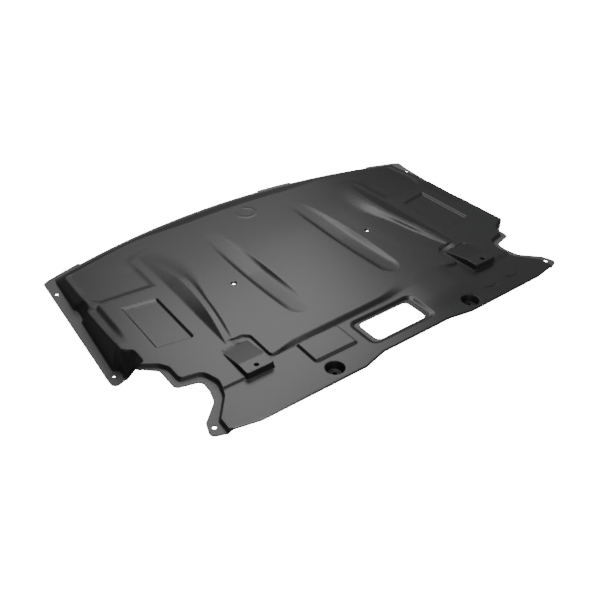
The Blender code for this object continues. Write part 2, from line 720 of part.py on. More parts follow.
def holes():
    """Outlines of the holes that go right through."""
    pairs = (
        (END_PAD, END_PAD_HOLE),
        (FRONT_HOLE, FRONT_HOLE_RADIUS),
        (EAR_HOLE, EAR_HOLE_RADIUS),
        (BOX_HOLE, BOX_HOLE_RADIUS),
        (CUP, CUP_HOLE_RADIUS),
        (CLIP, CLIP_RADIUS),
    )
    found = [circle((side * c[0], c[1]), r, HOLE_STEPS) for c, r in pairs for side in (-1, 1)]
    return found + [opening_outline()]


def relief_lines():
    """Every line inside the walls where the surface changes slope: (points, closed)."""
    lines = []

    def step(outline, draft):
        lines.append((outline, True))
        lines.append((shrunk(outline, draft), True))

    step(raised_outline(), PANEL_STEP_DRAFT)
    rear = [(-BAY_INNER, PANEL_REAR_LEFT), (BAY_INNER, PANEL_REAR_RIGHT)]
    lines.append((np.array(rear) + (0, PANEL_REAR_DRAFT), False))
    lines.append((front_crest(), False))
    for x in BAY_FADE:
        across = np.array([(x, BAY_FRONT), (x, BOX_FRONT)])
        lines += [(across, False), (mirrored(across), False)]
    for outline in both_sides(field_outline()):
        step(outline, FIELD_DRAFT)
    for outline in both_sides(strip_outline()):
        step(outline, STRIP_DRAFT)
    for outline in both_sides(recess_outline()):
        step(outline, RECESS_DRAFT)
    for outline in both_sides(box_outline()):
        step(outline, BOX_DRAFT)
    for x in (-1, 1):
        pad = np.array([(BOX_INNER + BOX_DRAFT, BOX_PAD_FRONT), (BOX_OUTER - BOX_DRAFT, BOX_PAD_FRONT)])
        lines.append((pad * (x, 1), False))
    step(pad_outline(), PAD_DRAFT)
    step(opening_outline(*FRAME_MARGIN), FRAME_DRAFT)
    for side in (-1, 1):
        centre = (side * CUP[0], CUP[1])
        lines.append((circle(centre, CUP_RADIUS), True))
        lines.append((circle(centre, CUP_FLOOR_RADIUS), True))
    for line in fin_lines() + bulge_lines():
        lines += [(line, False), (mirrored(line), False)]
    return lines


def plan_mesh(lines, boundary, voids):
    """Triangles of the plan between all lines, without what lies outside or in a hole."""
    points, edges = [], []
    for line, closed in lines:
        first = len(points)
        points += [Vector(p) for p in line]
        edges += [(first + i, first + i + 1) for i in range(len(line) - 1)]
        if closed:
            edges.append((first + len(line) - 1, first))
    verts, _, faces, *_ = delaunay_2d_cdt(points, edges, [], 0, SAME_POINT)
    verts = np.array([(v.x, v.y) for v in verts])
    faces = np.array(faces)
    middle = verts[faces].mean(axis=1)
    keep = depth_inside(middle, boundary) > 0
    for hole in voids:
        keep &= depth_inside(middle, hole) < 0
    faces = faces[keep]
    used, faces = np.unique(faces, return_inverse=True)
    return verts[used], faces.reshape(-1, 3)


def shield_surface():
    """The upper face of the shield: plan triangles lifted to their heights."""
    plan = Outlines()
    voids = holes()
    lines = [(plan.outer, True), (plan.panel, True)]
    lines += [(foot, False) for foot in plan.wall_feet]
    lines += [(hole, True) for hole in voids]
    inner = []
    for line, closed in relief_lines():
        inner += clipped(line, closed, plan.panel)
    verts, faces = plan_mesh(lines + inner, plan.outer, voids)
    inside = depth_inside(verts, plan.panel)
    height = np.where(inside > -SAME_POINT, upper_height(verts, plan.panel), rim_height(verts))
    return np.column_stack([verts, height + warp(verts)]), faces


def clipped(line, closed, boundary):
    """The stretches of a line that lie inside a boundary, each reaching just past it."""
    if closed:
        line = np.vstack([line, line[:1]])
    inside = depth_inside(line, boundary) > 0
    if inside.all():
        return [(line[:-1], True)] if closed else [(line, False)]
    pieces, current = [], []
    for i, here in enumerate(line):
        if inside[i]:
            if not current and i and not inside[i - 1]:
                current.append(border_point(line[i - 1], here, boundary))
            current.append(here)
        elif current:
            current.append(border_point(here, line[i - 1], boundary))
            pieces.append((np.array(current), False))
            current = []
    if len(current) > 1:
        pieces.append((np.array(current), False))
    return pieces


def border_point(outside, inside, boundary):
    """The point just past the boundary on the way from inside to outside."""
    low, high = 0.0, 1.0
    for _ in range(24):
        share = (low + high) / 2
        probe = inside + (outside - inside) * share
        if depth_inside(probe[None], boundary)[0] > 0:
            low = share
        else:
            high = share
    return inside + (outside - inside) * high


def clear_scene():
    """Removes what a new file holds."""
    for obj in list(bpy.data.objects):
        bpy.data.objects.remove(obj, do_unlink=True)


def moulded_plastic():
    """Black moulded plastic, satin."""
    material = bpy.data.materials.new("black_moulded_plastic")
    material.use_nodes = True
    shader = material.node_tree.nodes["Principled BSDF"]
    shader.inputs["Base Color"].default_value = (0.020, 0.020, 0.021, 1)
    shader.inputs["Roughness"].default_value = 0.45
    return material


def thicken(mesh):
    """Gives the upper face an underside and an edge all round, and stands the solid on z = 0."""
    solid = bmesh.new()
    solid.from_mesh(mesh)
    solid.normal_update()
    depth = {tuple(v.co): WALL * min(1 / max(abs(v.normal.z), 1e-3), STEEPEST_SHARE) for v in solid.verts}
    grown = bmesh.ops.extrude_face_region(solid, geom=solid.faces[:], use_keep_orig=True)
    lower = [item for item in grown["geom"] if isinstance(item, bmesh.types.BMVert)]
    for vertex in lower:
        vertex.co.z -= depth[tuple(vertex.co)]
    lowest = min(v.co.z for v in lower)
    bmesh.ops.translate(solid, verts=solid.verts[:], vec=(0, 0, -lowest))
    bmesh.ops.recalc_face_normals(solid, faces=solid.faces[:])
    solid.to_mesh(mesh)
    solid.free()


def build_shield(collection):
    """The shield as one thin wall."""
    verts, faces = shield_surface()
    middle = (verts[:, :2].max(axis=0) + verts[:, :2].min(axis=0)) / 2
    verts = verts - (middle[0], middle[1], 0)
    mesh = bpy.data.meshes.new("splash_shield")
    mesh.from_pydata(verts.tolist(), [], faces.tolist())
    mesh.validate()
    shield = bpy.data.objects.new("splash_shield", mesh)
    collection.objects.link(shield)
    thicken(mesh)
    mesh.materials.append(moulded_plastic())
    mesh.shade_smooth()
    mesh.set_sharp_from_angle(angle=math.radians(25))
    return shield


def main():
    """Builds the shield in a collection named for it."""
    clear_scene()
    collection = bpy.data.collections.new("engine_splash_shield")
    bpy.context.scene.collection.children.link(collection)
    build_shield(collection)


main()
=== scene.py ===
"""Looks of an engine splash shield: satin black moulded plastic under level soft lights.

Metres, +Z up. The shield is one thin wall. Its upper face is a height over the plan, and each
feature is a class that adds its own step, ridge or cup to that height with rounded edges. Heights
are given above the rear strip, the plain band behind the raised panel.
"""

from __future__ import annotations

import logging
import math
from collections.abc import Callable
from dataclasses import dataclass, field
from enum import Enum

import bpy
import numpy as np
from mathutils import Matrix, Vector
from mathutils.geometry import delaunay_2d_cdt


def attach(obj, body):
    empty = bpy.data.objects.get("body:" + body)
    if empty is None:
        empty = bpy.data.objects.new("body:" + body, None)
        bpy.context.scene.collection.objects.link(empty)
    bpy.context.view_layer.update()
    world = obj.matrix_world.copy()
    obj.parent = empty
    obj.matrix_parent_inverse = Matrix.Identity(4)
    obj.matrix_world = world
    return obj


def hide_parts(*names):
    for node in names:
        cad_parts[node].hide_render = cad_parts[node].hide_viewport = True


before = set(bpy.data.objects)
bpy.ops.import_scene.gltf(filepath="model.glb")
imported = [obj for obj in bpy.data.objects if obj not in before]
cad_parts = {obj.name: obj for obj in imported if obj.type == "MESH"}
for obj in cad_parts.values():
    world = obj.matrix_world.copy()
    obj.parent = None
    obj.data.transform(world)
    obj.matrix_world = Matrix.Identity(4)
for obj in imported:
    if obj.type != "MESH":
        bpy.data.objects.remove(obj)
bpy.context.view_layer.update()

log = logging.getLogger("splash_shield")

TINY = 1e-6
SAME_POINT = 1e-5

# Distance past which a point outside an outline counts as far away, and points measured at a time.
FAR = 0.030
POINT_BLOCK = 3000

# Outlines: longest stretch, longest step along an arc, a turn that counts as straight, the share of
# a side that one arc may take, and the least cosine of half a turn that a mitre follows.
OUTLINE_STEP = 0.005
ARC_STEP = math.radians(12)
STRAIGHT = 1e-4
SIDE_SHARE = 0.49
MITRE_LIMIT = 0.5

Corner = tuple[float, float, float]
Span = tuple[float, float]
Level = Callable[[np.ndarray, np.ndarray], np.ndarray | float]


def linear(code: str) -> tuple[float, float, float, float]:
    """Turns an sRGB hex colour into linear light.

    Args:
        code: Six hex digits.

    Returns:
        Red, green, blue and an alpha of one.
    """
    parts = [int(code[i:i + 2], 16) / 255 for i in (0, 2, 4)]
    shades = [c / 12.92 if c <= 0.04045 else ((c + 0.055) / 1.055) ** 2.4 for c in parts]
    return (*shades, 1.0)


def fade(value: np.ndarray, low: float, high: float) -> np.ndarray:
    """Gives 0 at low, 1 at high, straight between and level beyond."""
    return np.clip((value - low) / (high - low), 0, 1)


def ease(value: np.ndarray, low: float, high: float) -> np.ndarray:
    """Gives 0 at low and 1 at high along the smooth step 3t² - 2t³."""
    share = fade(value, low, high)
    return share * share * (3 - 2 * share)


def soft(distance: np.ndarray, width: np.ndarray | float) -> np.ndarray:
    """Gives max(distance, 0) with its corner rounded: (s + w)² / 4w between -w and w."""
    bent = (distance + width) ** 2 / (4 * width)
    return np.where(distance < -width, 0.0, np.where(distance > width, distance, bent))


def ramp(distance: np.ndarray, reach: np.ndarray | float, width: np.ndarray | float) -> np.ndarray:
    """Gives a straight slope from 0 at 0 to 1 at reach, rounded over the width at both ends."""
    return (soft(distance, width) - soft(distance - reach, width)) / reach


def lower(first: np.ndarray, second: np.ndarray, blend: np.ndarray | float) -> np.ndarray:
    """Gives the lower of two heights, rounded where they differ by less than the blend."""
    mix = np.maximum(blend - np.abs(first - second), 0) / np.maximum(blend, TINY)
    return np.minimum(first, second) - 0.25 * blend * mix**2


def rounded(corners: list[Corner], closed: bool = True) -> np.ndarray:
    """Rounds an outline's corners with arcs.

    Args:
        corners: Each corner's x, y and radius.
        closed: Whether the last corner joins the first.

    Returns:
        The outline's points.
    """
    count = len(corners)
    points = []
    for i, (x, y, radius) in enumerate(corners):
        here = Vector((x, y))
        before = Vector(corners[i - 1][:2]) - here
        after = Vector(corners[(i + 1) % count][:2]) - here
        turn = before.angle(after)
        end = not closed and i in (0, count - 1)
        if radius <= 0 or end or math.pi - turn < STRAIGHT:
            points.append(here)
            continue
        reach = min(radius / math.tan(turn / 2), SIDE_SHARE * before.length, SIDE_SHARE * after.length)
        radius = reach * math.tan(turn / 2)
        way = (before.normalized() + after.normalized()).normalized()
        middle = here + way * (radius / math.sin(turn / 2))
        start = here + before.normalized() * reach - middle
        sweep = start.angle_signed(here + after.normalized() * reach - middle)
        steps = max(2, round(abs(sweep) / ARC_STEP))
        for k in range(steps + 1):
            spun = Matrix.Rotation(-sweep * k / steps, 2) @ start
            points.append(middle + spun)
    return np.array([(p.x, p.y) for p in points])


def four_sided(left: float, right: float, front: float, rear: float, corner: float) -> np.ndarray:
    """A rectangle's outline with one radius at its corners."""
    ends = ((left, front), (right, front), (right, rear), (left, rear))
    return rounded([(x, y, corner) for x, y in ends])


def divided(points: np.ndarray) -> np.ndarray:
    """Adds points along a closed outline, so that no stretch is longer than OUTLINE_STEP."""
    ways = np.roll(points, -1, axis=0) - points
    counts = np.maximum(np.ceil(np.linalg.norm(ways, axis=1) / OUTLINE_STEP).astype(int), 1)
    index = np.repeat(np.arange(len(points)), counts)
    place = np.arange(counts.sum()) - np.repeat(np.cumsum(counts) - counts, counts)
    return points[index] + ways[index] * (place / counts[index])[:, None]


def circle(centre: Span, radius: float, steps: int = 32) -> np.ndarray:
    """Points of a circle."""
    angle = np.arange(steps) * 2 * math.pi / steps
    return np.column_stack([centre[0] + radius * np.cos(angle), centre[1] + radius * np.sin(angle)])


def mirrored(points: np.ndarray) -> np.ndarray:
    """The same outline on the other side of the centre plane."""
    return points[::-1] * (-1, 1)


def both_sides(points: np.ndarray) -> list[np.ndarray]:
    """An outline and its mirror image."""
    return [points, mirrored(points)]


def offset(points: np.ndarray, distance: float, closed: bool = True) -> np.ndarray:
    """Moves an outline to its left by a distance, with mitred corners.

    Args:
        points: The outline.
        distance: How far it moves.
        closed: Whether its last point joins its first.

    Returns:
        The moved outline, point for point.
    """
    if closed:
        ahead, behind = np.roll(points, -1, axis=0) - points, points - np.roll(points, 1, axis=0)
    else:
        steps = np.diff(points, axis=0)
        ahead, behind = np.vstack([steps, steps[-1:]]), np.vstack([steps[:1], steps])
    ahead = ahead / np.linalg.norm(ahead, axis=1)[:, None]
    behind = behind / np.linalg.norm(behind, axis=1)[:, None]
    normal = np.column_stack([-(ahead + behind)[:, 1], (ahead + behind)[:, 0]])
    normal /= np.linalg.norm(normal, axis=1)[:, None]
    side = np.column_stack([-ahead[:, 1], ahead[:, 0]])
    return points + normal * (distance / np.maximum((normal * side).sum(axis=1), MITRE_LIMIT))[:, None]


def shrunk(points: np.ndarray, distance: float) -> np.ndarray:
    """Moves a closed outline inwards by a distance, or outwards where it is negative."""
    nxt = np.roll(points, -1, axis=0)
    area = (points[:, 0] * nxt[:, 1] - nxt[:, 0] * points[:, 1]).sum()
    return offset(points, math.copysign(distance, area * distance) if distance else 0.0)


def depth(points: np.ndarray, outline: np.ndarray) -> np.ndarray:
    """Measures how deep each point lies inside a closed outline.

    The distance is that to the nearest side, and its sign comes from counting the sides that a
    line to the right crosses.

    Args:
        points: Points in plan.
        outline: The closed outline.

    Returns:
        Distances, positive inside and negative outside, no less than minus FAR.
    """
    found = np.full(len(points), -FAR)
    low, high = outline.min(axis=0) - FAR, outline.max(axis=0) + FAR
    near = np.flatnonzero(((points > low) & (points < high)).all(axis=1))
    edge = np.roll(outline, -1, axis=0) - outline
    length = np.maximum((edge**2).sum(axis=1), TINY**2)
    rise = np.where(edge[:, 1] == 0, 1.0, edge[:, 1])
    for block in np.array_split(near, max(1, len(near) // POINT_BLOCK)):
        gap_x = points[block, :1] - outline[:, 0]
        gap_y = points[block, 1:] - outline[:, 1]
        along = np.clip((gap_x * edge[:, 0] + gap_y * edge[:, 1]) / length, 0, 1)
        away = np.sqrt(((gap_x - along * edge[:, 0])**2 + (gap_y - along * edge[:, 1])**2).min(axis=1))
        above = gap_y < 0
        spans = above != (gap_y < edge[:, 1])
        crossing = gap_x < gap_y * edge[:, 0] / rise
        inside = (spans & crossing).sum(axis=1) % 2 == 1
        found[block] = np.where(inside, away, -away)
    return np.maximum(found, -FAR)


@dataclass(frozen=True)
class Line:
    """A line of the plan that the triangles follow."""

    points: np.ndarray
    closed: bool = True

    def mirrored(self) -> Line:
        """The same line on the other side."""
        return Line(mirrored(self.points), self.closed)


def open_line(x: np.ndarray, y: np.ndarray) -> Line:
    """A line through points given by their x and y."""
    return Line(np.column_stack([x, y]), False)


@dataclass(frozen=True)
class Step:
    """A step with rounded edges: inside an outline the surface goes to another level."""

    outline: np.ndarray
    draft: float
    round: float = 0.0012
    round_share: float = 0.4

    @property
    def width(self) -> float:
        """Half the width of each rounded edge, at most a share of the draft."""
        return min(self.round, self.round_share * self.draft)

    def share(self, points: np.ndarray) -> np.ndarray:
        """Gives 0 outside the outline and 1 past its sloped wall."""
        return ramp(depth(points, self.outline), self.draft, self.width)

    def apply(self, height: np.ndarray, points: np.ndarray, level: np.ndarray | float) -> np.ndarray:
        """Brings the surface inside the outline to a level."""
        return height + (level - height) * self.share(points)

    def lines(self) -> list[Line]:
        """Lines along both rounded edges of the wall."""
        wide = self.width
        rows = (-wide, -0.35 * wide, 0.35 * wide, wide)
        dense = divided(self.outline)
        return [Line(shrunk(dense, r + base)) for base in (0, self.draft) for r in rows]


@dataclass
class FrontEdge:
    """The curved front: a flat flange, a slope up to the panel and three fastening tabs."""

    apex: float = 0.346
    radius: float = 1.400
    drop: float = -0.003
    band: float = 0.011
    slope: float = 0.015
    slope_middle: float = 0.034
    slope_span: Span = (0.120, 0.300)
    slope_round: float = 0.0016
    crest_end: float = 0.455
    crest_points: int = 180
    line_end: float = 0.460
    line_points: int = 93
    tab_points: int = 9
    corner: float = 0.006
    corner_forward: float = 0.008
    tab_depth: float = 0.006
    tab_taper: float = 0.003
    tab_clear: float = 0.008
    side_tab: Span = (0.407, 0.489)
    middle_tab: Span = (0.092, 0.191)

    def edge(self, x: np.ndarray | float, inset: float | np.ndarray = 0.0) -> np.ndarray:
        """Y of the front edge, an arc of one radius, moved back by an inset."""
        return self.apex - inset - (self.radius - np.sqrt(self.radius**2 - np.asarray(x) ** 2))

    def line(self, inset: float, tabs: bool) -> np.ndarray:
        """Draws the front edge from the right corner to the left one.

        Args:
            inset: How far it is moved back.
            tabs: Whether it runs round the tabs.

        Returns:
            Its points.
        """
        marks = list(np.linspace(-self.line_end, self.line_end, self.line_points))
        low, high = self.side_tab
        spans = [self.side_tab, (-high, -low), self.middle_tab] if tabs else []
        clear = self.tab_clear
        marks = [x for x in marks if not any(a - clear < x < b + clear for a, b in spans)]
        line = [(x, float(self.edge(x, inset))) for x in marks]
        for a, b in spans:
            out = self.tab_depth
            ends = [(a, 0), (a + self.tab_taper, out), (b - self.tab_taper, out), (b, 0)]
            if b == high:
                ends = ends[:2] + [(b, out)]
            if a == -high:
                ends = [(a, out)] + ends[2:]
            ends += [(x, out) for x in np.linspace(a, b, self.tab_points)[1:-1]]
            line += [(x, float(self.edge(x)) + past) for x, past in ends]
        return np.array(sorted(line, reverse=True))

    def slope_width(self, x: np.ndarray) -> np.ndarray:
        """Width of the slope behind the flange: wider in the middle."""
        return self.slope_middle + (self.slope - self.slope_middle) * ease(np.abs(x), *self.slope_span)

    def apply(self, height: np.ndarray, points: np.ndarray) -> np.ndarray:
        """Brings the surface down to the flange over the slope."""
        behind = self.edge(points[:, 0], self.band) - points[:, 1]
        share = ramp(behind, self.slope_width(points[:, 0]), self.slope_round)
        return self.drop + (height - self.drop) * share

    def lines(self) -> list[Line]:
        """Lines along the foot and the crest of the slope."""
        x = np.linspace(-self.crest_end, self.crest_end, self.crest_points)
        wide = self.slope_round
        rows = [self.band + r for r in (-wide, 0, wide)]
        rows += [self.band + self.slope_width(x) + r for r in (-wide, -0.35 * wide, 0.35 * wide, wide)]
        return [open_line(x, self.edge(x, row)) for row in rows]


@dataclass
class Wings:
    """The two side flanges, which slope down and back to a flat pad with a hole."""

    half_width: float = 0.500
    front: float = 0.248
    rear: float = -0.080
    front_drop: float = -0.004
    front_rim_drop: float = 0.0005
    rear_drop: float = -0.0437
    pad_drop: float = -0.0465
    pad_front: float = -0.036
    pad_heel: float = 0.008
    corner: float = 0.016
    flange: Span = (0.023, 0.017)
    end_pad_length: float = 0.0305
    end_wall_y: float = -0.069
    end_pad_front: float = -0.046
    rim_width: float = 0.028
    width: float = 0.036
    panel_rear: float = -0.048
    end_recess: float = 0.020
    mid_pad: Span = (0.132, 0.016)
    mid_pad_width: float = 0.0275
    pocket_depth: float = 0.0065
    foot_step: float = 0.0015
    foot_rear: float = -0.034
    pad_bend: float = 0.004
    pad_turn: float = 0.008
    end_pad_run: float = 0.014
    end_corner: float = 0.003
    end_blend: Span = (0.0003, 0.0020)
    top_start: float = 0.017
    recess_turn: float = 0.016
    rim_slope: float = 0.014
    rim_round: float = 0.002
    holes: tuple[Corner, ...] = ((0.014, -0.049, 0.0028), (0.0115, 0.213, 0.0034))

    @property
    def panel_edge(self) -> float:
        """Distance of the panel's edge from the centre plane."""
        return self.half_width - self.width

    @property
    def rim_edge(self) -> float:
        """Distance of the panel's edge from the centre plane at the front."""
        return self.half_width - self.rim_width

    @property
    def end_wall(self) -> Span:
        """Foot of the wing's rear wall, where its outer edge turns inwards."""
        return (self.half_width - self.end_pad_length, self.end_wall_y)

    def foot(self) -> np.ndarray:
        """The foot of one wing's wall, round its middle pad and its end pad."""
        front, rear = self.half_width - self.flange[0], self.half_width - self.flange[1]
        mid = self.half_width - self.mid_pad_width
        end = self.end_wall[0] + self.foot_step
        pad_front, pad_rear = self.mid_pad[0] + self.mid_pad[1], self.mid_pad[0] - self.mid_pad[1]
        return rounded([
            (front - 0.003, self.front + 0.010, 0),
            (front, self.front - 0.006, 0.005),
            (front + 0.001, pad_front + 0.003, 0.004),
            (mid, pad_front - self.pad_bend, self.pad_turn),
            (mid, pad_rear + self.pad_bend, self.pad_turn),
            (front + 0.002, pad_rear - 0.006, 0.004),
            (rear, self.foot_rear, 0.005),
            (end, self.end_pad_front, self.pad_turn),
            (end, self.end_pad_front - self.end_pad_run, self.pad_turn),
            (end + self.pad_bend, self.end_wall_y + self.pad_bend, 0),
        ], closed=False)

    def top(self, edge: FrontEdge, cusp: Span, recessed: bool) -> np.ndarray:
        """Draws the upper edge of one wing's wall.

        Args:
            edge: The front edge that it starts from.
            cusp: Where the wing and the notch meet.
            recessed: Whether the wing's end is set in.

        Returns:
            Its points from front to rear.
        """
        start = self.rim_edge - self.top_start
        pocket = self.panel_edge - self.pocket_depth
        recess = self.panel_edge - self.end_recess if recessed else self.panel_edge
        mid, half = self.mid_pad
        return rounded([
            (start, float(edge.edge(start, edge.band)), 0),
            (self.rim_edge, self.front, 0.010),
            (self.rim_edge + 0.001, mid + half, 0.003),
            (pocket, mid + 0.6 * half, self.pad_turn),
            (pocket, mid - half, self.pad_turn),
            (self.panel_edge + 0.003, mid - 1.7 * half, 0.006),
            (self.panel_edge, self.panel_rear, 0.010),
            (recess, self.panel_rear - 0.012, self.recess_turn),
            (recess, cusp[1] + 0.001, self.recess_turn),
            (cusp[0] - 0.002, cusp[1], 0),
        ], closed=False)

    def heights(self, y: np.ndarray, edge: FrontEdge) -> np.ndarray:
        """Height of the wing's flange along its length."""
        along = [self.pad_front, self.pad_front + self.pad_heel, self.front, self.front + edge.corner]
        return np.interp(y, along, [self.pad_drop, self.rear_drop, self.front_drop, edge.drop])

    def lower_rim(self, height: np.ndarray, points: np.ndarray, level: float) -> np.ndarray:
        """Lowers the panel towards its edge along the front half of the wing."""
        x, y = np.abs(points[:, 0]), points[:, 1]
        mid, half = self.mid_pad
        inner = self.rim_edge - self.rim_slope
        share = ramp(x - inner, self.rim_slope, self.rim_round) * ease(y, mid - 2 * half, mid - half)
        return height - (level + self.front_rim_drop) * share


@dataclass
class Notch:
    """One notched rear corner: a wall, a flange that follows it and a flat ear with a hole."""

    cusp: Span
    recessed: bool
    cusp_round: float
    cusp_step: Span = (0.004, 0.0020)
    flange_drop: float = -0.0030
    ear_drop: float = -0.0078
    ear_ramp: Span = (-0.288, -0.190)
    ear_hole: Corner = (0.419, -0.305, 0.0040)
    wall_rear: Span = (0.396, -0.330)
    mouth: Span = (0.4300, -0.1315)
    edge: tuple[Corner, ...] = (
        (0.4290, -0.1890, 0.012),
        (0.3825, -0.2000, 0.012),
        (0.3825, -0.2250, 0.030),
        (0.3890, -0.2530, 0.025),
        (0.4260, -0.2885, 0.003),
        (0.4360, -0.3195, 0.011),
        (0.4095, -0.3290, 0.006),
        (0.3990, -0.3325, 0.010),
    )
    wall_mouth: Span = (0.425, -0.118)
    wall: tuple[Corner, ...] = (
        (0.4130, -0.1780, 0.008),
        (0.3720, -0.1860, 0.022),
        (0.3600, -0.2220, 0.025),
        (0.3680, -0.2550, 0.040),
        (0.4040, -0.3010, 0.006),
    )
    wall_end: Span = (0.405, -0.328)
    wall_draft: float = 0.0036
    wall_back: Span = (0.020, 0.0375)
    mouth_back: float = 0.027
    foot_rear: float = -0.352

    def top(self) -> np.ndarray:
        """The upper edge of the notch's wall, from the cusp to the ear."""
        return rounded([
            (self.cusp[0] - self.cusp_step[0], self.cusp[1], 0),
            (self.wall_mouth[0], min(self.wall_mouth[1], self.cusp[1] - self.wall_back[0]), 0.020),
            (self.wall[0][0] + 0.001, self.cusp[1] - self.wall_back[1], 0.010),
            *self.wall,
            (*self.wall_end, 0),
        ], closed=False)

    def outer(self, edge: FrontEdge, wings: Wings, rear: float, bend: float) -> np.ndarray:
        """Draws the outer edge of one side.

        Args:
            edge: The front edge.
            wings: The side wings.
            rear: Y of the rear edge on this side.
            bend: Where the rear edge starts, from the centre plane.

        Returns:
            Its points from the front corner to the rear edge.
        """
        high = edge.side_tab[1]
        return rounded([
            (high, float(edge.edge(high)) + edge.tab_depth, 0),
            (wings.half_width, wings.front + edge.corner_forward, edge.corner),
            (wings.half_width, wings.rear, wings.corner),
            (*wings.end_wall, wings.end_corner),
            (self.cusp[0] + self.cusp_step[0], self.cusp[1] + self.cusp_step[1], self.cusp_round),
            (self.mouth[0], min(self.mouth[1], self.cusp[1] - self.mouth_back), 0.010),
            *self.edge,
            (bend, rear, 0),
        ], closed=False)

    def foot(self, wings: Wings) -> np.ndarray:
        """The foot of the side wall from the front to a point past the rear edge."""
        turn = [wings.end_wall, (self.cusp[0] + self.cusp_step[0] + 0.001, self.cusp[1] + self.cusp_step[1])]
        notch = offset(self.top(), self.wall_draft, closed=False)[1:]
        return np.vstack([wings.foot(), turn, notch, [(notch[-1, 0], self.foot_rear)]])

    def heights(self, y: np.ndarray, wings: Wings) -> np.ndarray:
        """Height of the flange along the notch, and of the edge that drops to the wing's pad."""
        flange = np.interp(y, self.ear_ramp, [self.ear_drop, self.flange_drop])
        top = self.cusp[1] + self.cusp_step[1]
        return flange + (wings.pad_drop - flange) * fade(y, top, wings.end_wall[1])


@dataclass
class RearEdge:
    """The rear edge, stepped forwards at its waist, with a narrow rolled lip."""

    left: float = -0.343
    right: float = -0.3395
    middle: float = -0.3295
    bend: float = 0.350
    left_waist: Span = (-0.124, -0.072)
    right_waist: Span = (0.150, 0.098)
    waist_radius: float = 0.030
    band: float = 0.003
    drop: float = -0.0006
    rise_front: Span = (0.318, 0.325)
    rise: Span = (0.400, 0.410)

    def line(self, inset: float) -> np.ndarray:
        """The rear edge from left to right."""
        return rounded([
            (-self.bend, self.left + inset, 0),
            (self.left_waist[0], self.left + inset, self.waist_radius),
            (self.left_waist[1], self.middle + inset, self.waist_radius),
            (self.right_waist[1], self.middle + inset, self.waist_radius),
            (self.right_waist[0], self.right + inset, self.waist_radius),
            (self.bend, self.right + inset, 0),
        ], closed=False)[1:-1]

    def apply(self, height: np.ndarray, points: np.ndarray) -> np.ndarray:
        """Brings the rim's height to the lip's behind the panel."""
        behind = fade(-points[:, 1], *self.rise_front) * (1 - fade(np.abs(points[:, 0]), *self.rise))
        return height + (self.drop - height) * behind


@dataclass
class RaisedPanel:
    """The raised panel and its rear end, with a bay on each side for a ramped box."""

    level: float = 0.0048
    rear_left: float = -0.222
    rear_right: float = -0.206
    rear_draft: float = 0.012
    rear_draft_span: Span = (0.2495, 0.185)
    right_draft: float = 0.030
    right_span: Span = (0.020, 0.130)
    step_rear: float = -0.245
    step_draft: float = 0.0026
    front_of_slope: Span = (-0.165, -0.150)
    lift: float = 0.0031
    lift_start: Span = (0.030, 0.130)
    lift_end: Span = (0.190, 0.250)
    lift_rear: Span = (0.250, 0.315)
    bay_front: float = -0.141
    bay_inner: float = 0.250
    bay_fade: Span = (0.262, 0.300)
    bay_corner: float = 0.010
    bay_turns: Span = (0.006, 0.008)
    side: float = 0.313
    reach: float = 0.600
    box_front: float = -0.154
    softening: float = 0.34
    step_round: float = 0.0010
    line_points: int = 100

    def outline(self) -> np.ndarray:
        """The foot of the panel's rear end, running well past the walls elsewhere."""
        half = [
            (self.bay_inner, self.rear_right, self.bay_corner),
            (self.bay_inner, self.bay_front - self.bay_corner, self.bay_turns[0]),
            (self.bay_inner + self.bay_corner, self.bay_front, self.bay_turns[1]),
            (self.side, self.bay_front, 0),
            (self.side, self.step_rear, 0),
            (self.reach, self.step_rear, 0),
            (self.reach, self.reach, 0),
        ]
        other = [(-x, y, radius) for x, y, radius in half[::-1]]
        other[-1] = (-self.bay_inner, self.rear_left, self.bay_corner)
        return rounded(half + other)

    def draft(self, points: np.ndarray) -> np.ndarray:
        """Width of the rear slope: long at the middle, short in the bays and at the sides."""
        across = ease(-np.abs(points[:, 0]), -self.rear_draft_span[0], -self.rear_draft_span[1])
        share = across * (1 - ease(points[:, 1], *self.front_of_slope))
        long = self.rear_draft + (self.right_draft - self.rear_draft) * ease(points[:, 0], *self.right_span)
        return self.step_draft + (long - self.step_draft) * share

    def softness(self, draft: np.ndarray) -> np.ndarray:
        """Half the width of the slope's rounded edges, which grows with its draft."""
        return self.step_round + self.softening * (draft - self.step_draft)

    def rear_lift(self, points: np.ndarray) -> np.ndarray:
        """Lift of the rear strip between the opening and the right box, down to the rear edge."""
        x, y = points.T
        across = ease(x, *self.lift_start) * (1 - ease(x, *self.lift_end))
        return self.lift * across * (1 - ease(-y, *self.lift_rear))

    def height(self, points: np.ndarray) -> np.ndarray:
        """Height of the panel and of the rear strip behind it."""
        x, y = np.abs(points[:, 0]), points[:, 1]
        floor = self.level * ease(x, *self.bay_fade)
        floor = floor * ease(y, self.box_front - self.bay_corner, self.box_front)
        floor = floor + self.rear_lift(points)
        draft = self.draft(points)
        share = ramp(depth(points, self.outline()), draft, self.softness(draft))
        return floor + (self.level - floor) * share

    def lines(self) -> list[Line]:
        """Lines along the foot and the top of the rear slope."""
        outline = divided(self.outline())
        wide = self.step_round
        rows = [r + base for base in (0, self.step_draft) for r in (-wide, 0, wide)]
        made = [Line(shrunk(outline, row)) for row in rows]
        reach = self.bay_inner - 2 * self.bay_corner
        x = np.linspace(-reach, reach, self.line_points)
        foot = self.rear_left + (self.rear_right - self.rear_left) * fade(x, -self.bay_inner, self.bay_inner)
        draft = self.draft(np.column_stack([x, foot]))
        wide = self.softness(draft)
        rows = [-wide, -0.5 * wide] + [draft + share * wide for share in (-0.5, 0, 0.5, 1)]
        return made + [open_line(x, foot + row) for row in rows]


